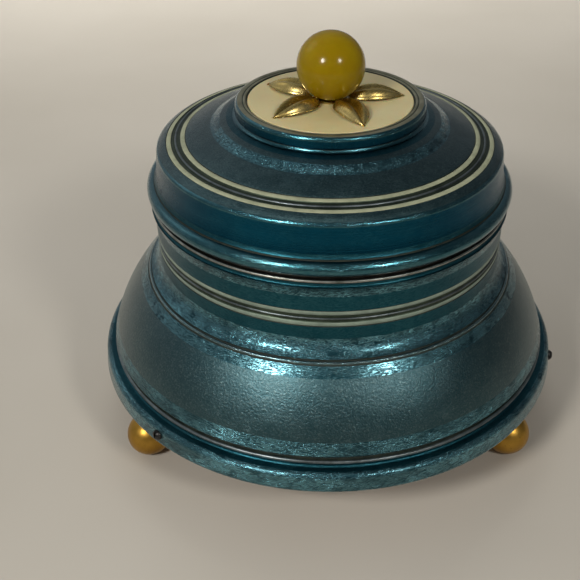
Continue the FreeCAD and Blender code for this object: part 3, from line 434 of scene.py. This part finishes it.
def machine_metal(name, light, dark, roughness, scale=500, stretch=(1.0, 7.0, 1.0)):
    """Plain worked metal of the movement, with filing marks and a little tarnish."""
    finish = Finish(name, Metallic=1.0)
    place = finish.place()
    marks = finish.noise(place, scale, 3, 0.6, stretch=stretch)
    tarnish = finish.noise(place, 95, 5, 0.62)
    finish.set("Base Color", finish.mix(finish.levels(tarnish, 0.35, 0.72), light, dark))
    filed = finish.levels(marks, 0.3, 0.7, roughness - 0.06, roughness + 0.08)
    finish.set("Roughness", finish.maths("ADD", filed, finish.levels(tarnish, 0.3, 0.7, 0.0, 0.06)))
    finish.set("Normal", finish.bump(marks, 0.03 * MM, 0.6))
    return finish.material


def stained_board():
    """Thin stained plywood: long grain, pores and small dents."""
    finish = Finish("stained_board", Coat_Weight=0.1, Coat_Roughness=0.4)
    place = finish.place()
    warp = finish.noise(place, 24, 3, 0.5, stretch=(0.25, 1.0, 1.0))
    wave = finish.add("ShaderNodeTexWave",
                      {"wave_type": "BANDS", "bands_direction": "Y", "wave_profile": "SIN"},
                      Vector=place, Scale=120.0, Distortion=9.0, Detail=4.0, Detail_Scale=0.7)
    bands = wave.outputs["Fac"]
    pores = finish.noise(place, 1100, 3, 0.6, stretch=(0.05, 1.0, 1.0))
    grain = finish.maths("ADD", finish.maths("MULTIPLY", bands, 0.55), finish.maths("MULTIPLY", warp, 0.5))
    colour = finish.ramp(grain, [(0.25, (0.165, 0.085, 0.038)), (0.55, (0.265, 0.150, 0.070)),
                                 (0.85, (0.34, 0.205, 0.10))])
    open_pores = finish.levels(pores, 0.58, 0.7, 0.0, 0.6)
    finish.set("Base Color", finish.mix(open_pores, colour, (0.07, 0.035, 0.016)))
    finish.set("Roughness", finish.levels(grain, 0.2, 0.8, 0.5, 0.68))
    finish.set("Normal", finish.bump(pores, 0.08 * MM, 0.6))
    return finish.material


def plain_floor():
    """A plain pale floor."""
    finish = Finish("pale_floor", Roughness=0.9)
    cloud = finish.noise(finish.place(), 6, 3, 0.5)
    finish.set("Base Color", finish.ramp(cloud, [(0.3, (0.50, 0.465, 0.405)), (0.7, (0.56, 0.525, 0.465))]))
    return finish.material


materials = {
    "polished": teal_metal("teal_polished", dark=(0.006, 0.110, 0.145), light=(0.18, 0.38, 0.42),
                           roughness=0.20, strokes=0.40, grain=0.05, lines=0.3, coat=0.5,
                           coat_roughness=0.14),
    "turned": teal_metal("teal_turned", dark=(0.0004, 0.064, 0.118), light=(0.04, 0.20, 0.26), roughness=0.25,
                         strokes=0.20, grain=0.10, lines=0.7, coat=0.05, coat_roughness=0.2),
    "brushed": teal_metal("teal_brushed", dark=(0.003, 0.056, 0.078), light=(0.150, 0.390, 0.460),
                          roughness=0.27, strokes=1.0, grain=0.12, lines=0.1, coat=0.45, coat_roughness=0.24),
    "matte": teal_metal("teal_matte", dark=(0.012, 0.074, 0.092), light=(0.16, 0.24, 0.245), roughness=0.34,
                        strokes=0.20, grain=1.0, lines=0.0, coat=0.6, coat_roughness=0.33),
    "wall": teal_metal("teal_satin", dark=(0.006, 0.070, 0.100), light=(0.05, 0.18, 0.21), roughness=0.34,
                       strokes=0.45, grain=0.45, lines=0.3, coat=0.08, coat_roughness=0.3),
    "top": teal_metal("teal_frosted", dark=(0.014, 0.062, 0.076), light=(0.14, 0.24, 0.25), roughness=0.38,
                      strokes=0.40, grain=0.8, lines=0.0, coat=0.5, coat_roughness=0.34),
    "edge": teal_metal("teal_edge", dark=(0.05, 0.15, 0.175), light=(0.40, 0.50, 0.51), roughness=0.20,
                       strokes=0.6, grain=0.3, lines=0.0, coat=0.7, coat_roughness=0.14),
    "cream": cream_paint("cream_line_paint", (0.22, 0.24, 0.155), (0.335, 0.355, 0.235), (0.41, 0.43, 0.29)),
    # a darker, greener copy of the line paint, used for the upright lines on the body
    "aged_cream": cream_paint("darker_line_paint", (0.13, 0.17, 0.135), (0.20, 0.25, 0.20), (0.26, 0.31, 0.25)),
    # near-black painted shade for the grooves and gaps
    "groove": painted_groove_shade(),
    "olive": bare_aluminium("olive_lacquer", (0.070, 0.092, 0.066), (0.032, 0.046, 0.034), 0.34),
    # dark brown: partly real tarnish, partly painted shade for the surfaces in the gap under the lid
    "tarnish": bare_aluminium("brown_tarnish_and_painted_shade", (0.060, 0.056, 0.050), (0.022, 0.021, 0.019), 0.36),
    "bare": bare_aluminium("bare_aluminium", (0.46, 0.47, 0.44), (0.16, 0.17, 0.14), 0.22),
    "dull": bare_aluminium("dull_aluminium", (0.23, 0.27, 0.285), (0.09, 0.11, 0.115), 0.26),
    "rim": bare_aluminium("worn_rim", (0.46, 0.44, 0.31), (0.26, 0.25, 0.165), 0.34),
    "spun": spun_aluminium(),
    "ivory": ivory(),
    "resin": olive_resin(),
    "leaf": gilt("gilt_leaf", (0.80, 0.62, 0.25), (0.53, 0.38, 0.11), 0.27, veined=True),
    "gilt": gilt("satin_gilt", (0.52, 0.30, 0.055), (0.34, 0.185, 0.030), 0.38),
    "black": black_steel(),
    "steel": machine_metal("plain_steel", (0.50, 0.50, 0.50), (0.28, 0.27, 0.25), 0.32),
    "tuned": machine_metal("tuned_steel", (0.36, 0.37, 0.39), (0.16, 0.17, 0.20), 0.28, 700),
    "brass": machine_metal("plain_brass", (0.60, 0.42, 0.16), (0.34, 0.21, 0.07), 0.3),
    "casting": machine_metal("nickelled_casting", (0.38, 0.37, 0.34), (0.22, 0.21, 0.19), 0.45, 1500,
                             (1.0, 1.0, 1.0)),
    "board": stained_board(),
}


# ------------------------------------------------------------------ the body
def body_outline():
    """Up the outside from the bottom edge, over the rim, and down the inside."""
    r, z, neck = BASE_R, EDGE_Z, NECK_R
    shape = Outline(r - 0.5, z)
    # the band
    shape.bend((r - 0.15, z + 0.12), (r, z + 0.5), "edge", 4)
    shape.line(r - 0.4, z + 3.8, "brushed", 3)
    shape.bend((r - 0.82, z + 5.0), (r - 2.0, z + 5.55), "brushed", 10)
    # the ledge, the fine bead and the bell's foot
    shape.line(r - 3.3, z + 5.62, "wall", 2)
    shape.bend((r - 3.85, z + 5.85), (r - 4.0, z + 6.5), "wall", 6)
    shape.line(r - 4.0, z + 6.75, "groove")
    shape.bend((r - 3.42, z + 7.3), (r - 4.0, z + 7.85), "dull", 8)
    shape.line(r - 4.55, z + 8.0, "groove")
    shape.bend((r - 4.7, z + 8.4), (r - 4.4, z + 8.85), "groove", 4)
    shape.bend((r - 3.95, z + 9.0), (r - 3.72, z + 9.4), "brushed", 4)
    # the bell, brushed at its foot and top
    matte_low, matte_high = z + 13.2, z + 27.9
    for point in arc((r - 3.72, z + 9.4), (r - 8.7, z + 20.8), (neck + 4.2, z + 30.12), 44):
        shape.line(*point, "matte" if matte_low <= point[1] <= matte_high else "brushed")
    # the lip and the cove
    shape.bend((neck + 3.95, z + 30.2), (neck + 3.85, z + 30.4), "groove", 3)
    shape.bend((neck + 3.68, z + 30.85), (neck + 3.2, z + 30.95), "edge", 6)
    shape.bend((neck + 2.85, z + 31.1), (neck + 2.95, z + 31.4), "groove", 4)
    shape.bend((neck + 0.85, z + 33.2), (neck, z + 36.0), "brushed", 14)
    # the neck, its painted lines and its flare
    shape.line(neck, z + 39.75, "wall", 2)
    stripes_up(shape, neck, z + 39.75)
    shape.line(neck, z + 49.2, "wall", 2)
    shape.bend((neck + 0.32, z + 50.8), (neck + 0.95, z + 52.45), "brushed", 8)
    # the collar and the rim
    shape.bend((neck + 0.35, z + 52.6), (neck + 0.22, z + 53.0), "wall", 4)
    shape.line(neck + 0.3, z + 53.55, "wall")
    # dark brown under the rim and across the collar's top: tarnish and painted shade in the gap under the lid
    shape.bend((neck + 0.62, z + 53.7), (neck + 0.75, z + 53.98), "tarnish", 5)
    shape.bend((neck + 0.75, z + 54.3), (neck + 0.5, TOP_Z - 0.08), "bare", 5)
    shape.line(neck + 0.2, TOP_Z, "tarnish")
    shape.line(neck - 0.9, TOP_Z, "tarnish")
    shape.bend((neck - 1.15, TOP_Z - 0.1), (neck - WALL, TOP_Z - 0.3), "dull", 3)
    # down the inside
    shape.line(neck - WALL, z + 34.4, "spun", 4)
    shape.line(neck + 1.7, z + 30.2, "spun", 2)
    for point in arc((neck + 1.7, z + 30.2), (r - 10.2, z + 19.6), (r - 5.6, z + 8.7), 16):
        shape.line(*point, "spun")
    shape.line(r - 5.6, z + 4.9, "spun")
    shape.line(r - 1.4, z + 4.4, "spun")
    shape.line(r - 1.4, z + 0.2, "spun")
    shape.bend((r - 1.3, z + 0.04), (r - 1.1, z), "dull", 3)
    shape.line(r - 0.5, z, "dull")
    return shape


def stripes_up(shape, r, z):
    """Two painted lines with a fine bead between them, cut in an upright wall."""
    shape.bend((r - 0.12, z + 0.1), (r - 0.12, z + 0.25), "groove", 2)
    shape.bend((r + 0.03, z + 0.8), (r - 0.12, z + 1.35), "aged_cream", 6)
    shape.bend((r - 0.32, z + 1.6), (r - 0.3, z + 1.9), "olive", 4)
    shape.line(r - 0.3, z + 2.25, "olive")
    shape.bend((r + 0.02, z + 2.53), (r - 0.3, z + 2.8), "dull", 6)
    shape.line(r - 0.3, z + 3.2, "olive")
    shape.bend((r - 0.32, z + 3.5), (r - 0.12, z + 3.75), "olive", 4)
    shape.bend((r + 0.03, z + 4.3), (r - 0.12, z + 4.85), "aged_cream", 6)
    shape.bend((r - 0.12, z + 5.0), (r, z + 5.1), "groove", 2)


def make_body():
    piece = turn("body_shell_turned", body_outline(), SHELL_STEPS)
    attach(piece, "root")
    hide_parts("body_shell")


# ------------------------------------------------------------------ the lid
def lid_outline():
    """From the mouth's inner edge round the outside to the screw hole, and back inside."""
    z = EDGE_Z
    side = LID_SIDE_R
    shape = Outline(LID_BORE_R, LID_Z)
    # the mouth and its bead
    # the mouth's underside in dark brown: tarnish and painted shade in the gap above the collar
    shape.line(NECK_R - 0.3, LID_Z, "tarnish")
    shape.bend((NECK_R - 0.1, LID_Z + 0.1), (NECK_R, LID_Z + 0.35), "polished", 3)
    shape.bend((BEAD_R, LID_Z + 2.35), (NECK_R - 0.35, LID_Z + 4.35), "polished", 18)
    shape.bend((NECK_R - 0.65, z + 59.75), (NECK_R - 0.55, z + 60.05), "groove", 4)
    # the side and its shoulder
    shape.bend((NECK_R - 0.75, z + 60.4), (NECK_R - 1.0, z + 61.2), "wall", 5)
    shape.line(side + 0.55, z + 62.3, "turned")
    shape.line(side, z + 68.3, "turned", 3)
    shape.bend((side - 0.2, z + 69.0), (side - 0.62, z + 69.36), "polished", 8)
    # the top, its painted lines and its step
    stripe_edge = (side - 2.8, z + 70.7)
    shape.bend((side - 1.75, z + 70.18), stripe_edge, "top", 6)
    stripe_end = stripes_in(shape, *stripe_edge)
    inner = (33.9, z + 74.55)
    middle = ((stripe_end[0] + inner[0]) / 2, (stripe_end[1] + inner[1]) / 2 + 0.12)
    for point in arc(stripe_end, middle, inner, 10):
        shape.line(*point, "top")
    shape.bend((33.2, z + 74.85), (32.6, z + 75.35), "brushed", 4)
    shape.line(31.2, z + 76.2, "brushed", 2)
    shape.bend((30.3, z + 76.5), (29.4, z + 76.75), "top", 3)
    shape.line(27.6, z + 77.25, "wall", 3)
    shape.bend((26.8, z + 77.45), (26.5, z + 77.9), "polished", 6)
    # the boss, its ring and the disc's seat
    shape.line(26.4, z + 78.1, "groove")
    shape.bend((26.85, z + 78.3), (26.95, z + 78.7), "turned", 4)
    shape.line(26.8, z + 80.3, "turned", 2)
    shape.bend((26.62, z + 80.98), (26.1, z + 81.42), "polished", 8)
    shape.bend((25.4, z + 81.52), (24.75, z + 81.42), "rim", 5)
    shape.bend((24.6, z + 81.33), (24.45, z + 81.42), "olive", 3)
    shape.bend((24.05, z + 81.5), (23.75, z + 81.35), "rim", 4)
    # painted shade in the narrow gap round the disc
    shape.line(DISC_R + DISC_ROOM, z + 81.0, "groove", 2)
    shape.line(DISC_R + DISC_ROOM, DISC_Z - DISC_SEAT, "groove")
    shape.line(SCREW_HOLE_R, DISC_Z - DISC_SEAT, "spun", 2)
    shape.line(SCREW_HOLE_R, DISC_Z - DISC_SEAT - WALL, "spun")
    # back along the inside
    shape.line(24.9, DISC_Z - DISC_SEAT - WALL, "spun", 2)
    shape.line(24.9, z + 76.2, "spun")
    shape.line(30.4, z + 74.8, "spun")
    shape.line(32.4, z + 73.4, "spun")
    shape.line(side - 3.0, z + 69.2, "spun", 3)
    shape.bend((side - 1.75, z + 68.5), (side - WALL, z + 67.2), "spun", 6)
    shape.line(side - WALL, LID_Z + 3.15, "spun", 2)
    shape.line(LID_BORE_R, LID_Z + 3.15, "spun")
    shape.line(LID_BORE_R, LID_Z, "spun")
    return shape


LID_SLOPE = 0.235                    # rise for each millimetre in, where the lid's lines are cut


def stripes_in(shape, r, z):
    """The same two painted lines and bead, cut in the gently sloping top; returns the last point."""
    profile = [((-0.1, -0.1), (-0.2, -0.12), "groove", 2), ((-0.83, 0.05), (-1.45, -0.12), "cream", 6),
               ((-1.65, -0.32), (-1.95, -0.3), "olive", 4), ((-2.2, -0.3), (-2.5, -0.3), "olive", 2),
               ((-2.8, 0.02), (-3.1, -0.3), "dull", 6), ((-3.4, -0.3), (-3.65, -0.3), "olive", 2),
               ((-3.95, -0.32), (-4.15, -0.12), "olive", 4), ((-4.78, 0.05), (-5.4, -0.12), "cream", 6),
               ((-5.5, -0.1), (-5.6, 0.0), "groove", 2)]
    for middle, end, finish, steps in profile:
        points = [(r + dr, z + dz - LID_SLOPE * dr) for dr, dz in (middle, end)]
        shape.bend(*points, finish, steps)
    return shape.points[-1]


def make_lid():
    piece = turn("lid_shell_turned", lid_outline(), SHELL_STEPS)
    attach(piece, "lid")
    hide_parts("lid_shell")


def make_disc():
    low = disc_low.z / MM
    shape = Outline(SCREW_HOLE_R, low)
    shape.line(DISC_R, low, "ivory", 3)
    shape.line(DISC_R, DISC_Z - 0.25, "ivory")
    shape.bend((DISC_R - 0.08, DISC_Z - 0.08), (DISC_R - 0.3, DISC_Z), "ivory", 4)
    shape.line(SCREW_HOLE_R, DISC_Z, "ivory", 6)
    shape.line(SCREW_HOLE_R, low, "ivory")
    piece = turn("medallion_disc_turned", shape, KNOB_STEPS)
    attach(piece, "lid")
    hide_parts("medallion_disc")


# ------------------------------------------------------------------ knob and leaves
def make_knob():
    """The ball with its small flat seat and the bore for its screw."""
    low = knob_low.z / MM
    top = knob_high.z / MM
    centre = top - KNOB_R
    flat = math.sqrt(KNOB_R**2 - (centre - low) ** 2)
    shape = Outline(SCREW_HOLE_R, low + 6.0)
    shape.line(SCREW_HOLE_R, low + 0.2, "resin", 2)
    shape.line(1.8, low, "resin")
    shape.line(flat - 0.15, low, "resin", 2)
    start = (flat - 0.15, low)
    for point in arc(start, (KNOB_R, centre), (0.0, top), 72):
        shape.line(*point, "resin")
    shape.points[-1] = (0.0, top)
    piece = turn("knob_ball_turned", shape, KNOB_STEPS)
    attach(piece, "lid")
    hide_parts("knob_ball")


LEAF_COUNT = 5
LEAF_TURN = math.radians(6.0)
LEAF_SWAYS = (0.3, 0.4, 0.3, -0.2, 1.1)      # sideways bend of each leaf, as hand-fitted


def leaf_height(along, across):
    """Height of a stamped leaf above the disc, in millimetres: along runs from 0 at the stem
    to 1 at the tip, across from -1 to 1 at its edges."""
    valley = 0.25 + 1.15 * math.sin(math.pi * (0.16 + 0.80 * along)) - 0.28 * along ** 4
    lobe = 1.75 * math.sin(math.pi * (0.13 + 0.86 * along)) ** 0.8
    side = abs(across)
    rounded = 1 - ((side - 0.5) / 0.5) ** 2
    rib = 0.42 * math.exp(-((across / 0.06) ** 2)) * (1 - 0.5 * along)
    curl = 0.32 * math.exp(-(((side - 0.97) / 0.06) ** 2))
    return valley * (1 - 0.72 * side ** 3) + lobe * rounded + rib + curl


def leaf_half_width(along):
    """Half the leaf's width, in millimetres: rounded at the stem, then running to a point."""
    full, widest = 4.25, 0.4
    if along < widest:
        return full * math.sqrt(max(0.0, 1 - ((widest - along) / widest) ** 2))
    return full * (1 - ((along - widest) / (1 - widest)) ** 2) ** 0.85


def make_leaves():
    """Five stamped leaves round a hub, each a grid pressed to shape and given its thickness."""
    leaves = []
    reach = leaves_high.x / MM
    stem = 5.0
    for number in range(LEAF_COUNT):
        nothing_selected()
        bpy.ops.mesh.primitive_grid_add(x_subdivisions=48, y_subdivisions=40, size=1)
        leaf = bpy.context.object
        bpy.ops.object.transform_apply(location=True)
        for vertex in leaf.data.vertices:
            along = 0.5 - 0.5 * math.cos(math.pi * min(max(vertex.co.x + 0.5, 0.004), 0.996))
            across = 2 * vertex.co.y
            sway = LEAF_SWAYS[number] * math.sin(math.pi * along)
            x = stem + (reach - stem) * along
            y = leaf_half_width(along) * across + sway
            vertex.co = Vector((x, y, DISC_Z + leaf_height(along, across))) * MM
        leaf.data.transform(Matrix.Rotation(LEAF_TURN + number * FULL_TURN / LEAF_COUNT, 4, "Z"))
        leaves.append(leaf)
    foot = DISC_Z + 0.02
    shape = Outline(SCREW_HOLE_R, foot)
    shape.line(4.4, foot, "leaf")
    shape.bend((4.6, foot + 0.28), (4.2, foot + 0.48), "leaf", 4)
    shape.line(SCREW_HOLE_R, foot + 0.48, "leaf")
    shape.line(SCREW_HOLE_R, foot, "leaf")
    hub = turn("leaf_hub", shape, HUB_STEPS)
    nothing_selected()
    for leaf in leaves:
        leaf.select_set(True)
    bpy.context.view_layer.objects.active = leaves[0]
    bpy.ops.object.join()
    whole = bpy.context.object
    whole.name = "leaf_rosette_stamped"
    bpy.ops.object.mode_set(mode="EDIT")
    bpy.ops.mesh.select_all(action="SELECT")
    bpy.ops.mesh.remove_doubles(threshold=0.01 * MM)
    bpy.ops.mesh.normals_make_consistent(inside=False)
    bpy.ops.object.mode_set(mode="OBJECT")
    if sum(face.normal.z for face in whole.data.polygons) < 0:
        whole.data.flip_normals()
    thickness = whole.modifiers.new("sheet", "SOLIDIFY")
    thickness.thickness = 0.5 * MM
    thickness.offset = -1
    soften = whole.modifiers.new("soft_edges", "BEVEL")
    soften.width = 0.14 * MM
    soften.segments = 2
    soften.limit_method = "ANGLE"
    soften.angle_limit = math.radians(50)
    apply_modifiers(whole)
    whole.data.materials.clear()
    whole.data.materials.append(materials["leaf"])
    smooth(whole, 60)
    for piece in (whole, hub):
        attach(piece, "lid")
        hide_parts("leaf_rosette")


# ------------------------------------------------------------------ feet, board and screws
def make_foot(node):
    """A turned ball foot: flat, ball, stem and collar in one outline."""
    low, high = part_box(node)
    centre = (low + high) / 2
    ball = (high.x - low.x) / 2 / MM
    top = high.z / MM
    middle = ball - 0.2
    flat = math.sqrt(ball**2 - middle**2)
    stem = 3.0
    shape = Outline(0.0, 0.0)
    shape.line(flat - 0.1, 0.0, "gilt")
    neck_z = middle + math.sqrt(ball**2 - (stem + 0.35) ** 2)
    for point in arc((flat, 0.02), (ball, middle), (stem + 0.35, neck_z), 36):
        shape.line(*point, "gilt")
    shape.bend((stem + 0.08, neck_z + 0.25), (stem, neck_z + 0.7), "gilt", 4)
    shape.line(stem, top - 1.6, "gilt", 2)
    shape.bend((stem + 0.1, top - 1.3), (stem + 0.4, top - 1.2), "gilt", 3)
    shape.line(4.4, top - 1.2, "gilt")
    shape.bend((4.55, top - 1.12), (4.6, top - 0.95), "gilt", 3)
    shape.line(4.6, top, "gilt")
    shape.line(0.0, top, "gilt")
    piece = turn(node + "_turned", shape, FOOT_STEPS, (centre.x, centre.y))
    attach(piece, "root")
    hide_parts(node)


def make_cup():
    """The spun powder cup, with its flange and the collar that centres the lid."""
    low, high = cup_low.z / MM, cup_high.z / MM
    side = NECK_R - 6.3
    bore = NECK_R - 1.35
    flange = NECK_R - 0.3
    shape = Outline(0.0, low)
    shape.line(side - 3.0, low, "spun", 4)
    shape.bend((side - 0.88, low + 0.88), (side, low + 3.0), "spun", 8)
    shape.line(side, TOP_Z, "spun", 4)
    # the flange's edge in dark brown: tarnish and painted shade in the gap under the lid
    shape.line(flange, TOP_Z + 0.02, "tarnish")
    shape.bend((flange + 0.15, TOP_Z + 0.3), (flange, TOP_Z + 0.6), "tarnish", 4)
    shape.line(bore + 0.25, TOP_Z + 0.6, "spun")
    shape.bend((bore + 0.05, TOP_Z + 0.68), (bore, TOP_Z + 0.9), "spun", 3)
    shape.line(bore, high - 0.3, "spun")
    shape.bend((bore - 0.4, high), (bore - 0.8, high - 0.3), "spun", 6)
    shape.line(bore - 0.8, TOP_Z + 0.62, "spun")
    shape.line(side - 0.4, TOP_Z + 0.6, "spun", 2)
    shape.bend((side - 0.7, TOP_Z + 0.5), (side - 0.8, TOP_Z + 0.2), "spun", 4)
    shape.line(side - 0.8, low + 3.0, "spun", 3)
    shape.bend((side - 1.68, low + 1.68), (side - 3.0, low + 0.8), "spun", 8)
    shape.line(0.0, low + 0.8, "spun", 5)
    piece = turn("powder_cup_spun", shape, CUP_STEPS)
    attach(piece, "root")
    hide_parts("powder_cup")


# ------------------------------------------------------------------ carried-over pieces
PLAIN_FINISHES = {
    "base_board": "board", "base_screws": "black", "foot_screws": "steel", "knob_washer": "steel",
    "knob_screw": "steel", "plate_screws": "steel", "bridge_screws": "steel", "comb_screws": "steel",
    "winding_arbor": "steel", "ratchet_wheel": "steel", "ratchet_click": "steel", "stop_plunger": "steel",
    "stop_finger": "steel", "plunger_spring": "steel", "comb": "tuned", "mainspring": "tuned",
    "worm_shaft": "tuned", "governor_fan": "tuned", "plunger_bush": "brass", "spring_barrel": "brass",
    "great_wheel": "brass", "cylinder_drum": "brass", "tune_pins": "steel", "cylinder_pinion": "brass",
    "train_wheel": "brass", "governor_pinion": "brass", "governor_wheel": "brass", "stop_disc": "brass",
    "winding_key": "brass", "movement_plate": "casting", "comb_base": "casting", "barrel_bridge": "casting",
    "cylinder_post": "casting", "governor_bracket": "casting",
}


def finish_frame_nodes():
    for name, finish in PLAIN_FINISHES.items():
        slots = nodes[name].data.materials
        slots.clear()
        slots.append(materials[finish])


# ------------------------------------------------------------------ stage, light and camera
FLOOR_WIDTH = 6.0
MIDDLE = Vector((0, 0, 60 * MM))             # what the lamps look at
FLOOR_BEHIND = Vector((-0.15, 1.0, 0))
WARM = (1.0, 0.96, 0.90)
SKY = (0.93, 0.97, 1.0, 1.0)
SKY_BRIGHT_SIDE = (-0.75, 0.55, 0.1)         # the direction that the studio is brightest in


def make_floor():
    nothing_selected()
    bpy.ops.mesh.primitive_plane_add(size=FLOOR_WIDTH, location=(0, 0, 0))
    floor = bpy.context.object
    floor.name = "floor"
    floor.data.materials.append(plain_floor())


def lamp(name, azimuth, elevation, distance, size, power, colour, aim):
    """A round soft lamp, placed by its direction from the object's middle."""
    turn_to = math.radians(azimuth)
    up = math.radians(elevation)
    toward = Vector((math.sin(turn_to) * math.cos(up), -math.cos(turn_to) * math.cos(up), math.sin(up)))
    data = bpy.data.lights.new(name, "AREA")
    data.shape = "DISK"
    data.size = size
    data.energy = power
    data.color = colour
    made = bpy.data.objects.new(name, data)
    made.location = aim + toward * distance
    made.rotation_euler = (-toward).to_track_quat("-Z", "Y").to_euler()
    bpy.context.scene.collection.objects.link(made)
    return made


def make_light():
    lamp("left_lamp", azimuth=-33, elevation=36, distance=0.62, size=0.12, power=2.0, colour=WARM, aim=MIDDLE)
    lamp("right_lamp", azimuth=33, elevation=36, distance=0.62, size=0.10, power=1.05, colour=WARM,
         aim=MIDDLE)
    lamp("window", azimuth=-118, elevation=38, distance=1.3, size=0.7, power=0.6, colour=(1.0, 0.98, 0.95),
         aim=MIDDLE)
    far = lamp("far_lamp", azimuth=180, elevation=89, distance=1.1, size=1.2, power=8.6,
               colour=(1.0, 0.97, 0.92), aim=FLOOR_BEHIND)
    far.data.spread = math.radians(75)
    far.visible_glossy = False


def make_world():
    """Soft light all round, brighter from one side behind."""
    world = bpy.data.worlds.new("studio")
    world.use_nodes = True
    tree = world.node_tree
    toward = tree.nodes.new("ShaderNodeVectorMath")
    toward.operation = "DOT_PRODUCT"
    toward.inputs[1].default_value = SKY_BRIGHT_SIDE
    tree.links.new(tree.nodes.new("ShaderNodeTexCoord").outputs["Generated"], toward.inputs[0])
    fade = tree.nodes.new("ShaderNodeMapRange")
    fade.interpolation_type = "SMOOTHSTEP"
    for key, number in (("From Min", -0.3), ("From Max", 1.0), ("To Min", 0.10), ("To Max", 0.31)):
        fade.inputs[key].default_value = number
    tree.links.new(toward.outputs["Value"], fade.inputs["Value"])
    background = tree.nodes["Background"]
    background.inputs["Color"].default_value = SKY
    tree.links.new(fade.outputs[0], background.inputs["Strength"])
    bpy.context.scene.world = world
    bpy.context.scene.view_settings.view_transform = "Standard"


def make_camera():
    """Looking down at the front, with the object a little right of the middle."""
    elevation = math.radians(34.26)
    distance = 287.9 * MM
    around = math.radians(-1.0)
    roll = math.radians(0.6)
    aim = Vector((0, 0, 38.1 * MM))
    out = Vector((0, -math.cos(elevation), math.sin(elevation)))
    back = Matrix.Rotation(around, 3, "Z") @ out
    data = bpy.data.cameras.new("camera")
    data.lens = 55.86
    data.sensor_width = 36.0
    data.shift_x = -0.0666
    data.clip_start = 0.01
    made = bpy.data.objects.new("camera", data)
    made.location = aim + back * distance
    look = (-back).to_track_quat("-Z", "Y").to_matrix().to_4x4()
    made.rotation_euler = (look @ Matrix.Rotation(roll, 4, "Z")).to_euler()
    bpy.context.scene.collection.objects.link(made)
    bpy.context.scene.camera = made


make_body()
make_lid()
make_disc()
make_knob()
make_leaves()
for foot in ("ball_foot_1", "ball_foot_2", "ball_foot_3"):
    make_foot(foot)
make_cup()
finish_frame_nodes()
make_floor()
make_light()
make_world()
make_camera()
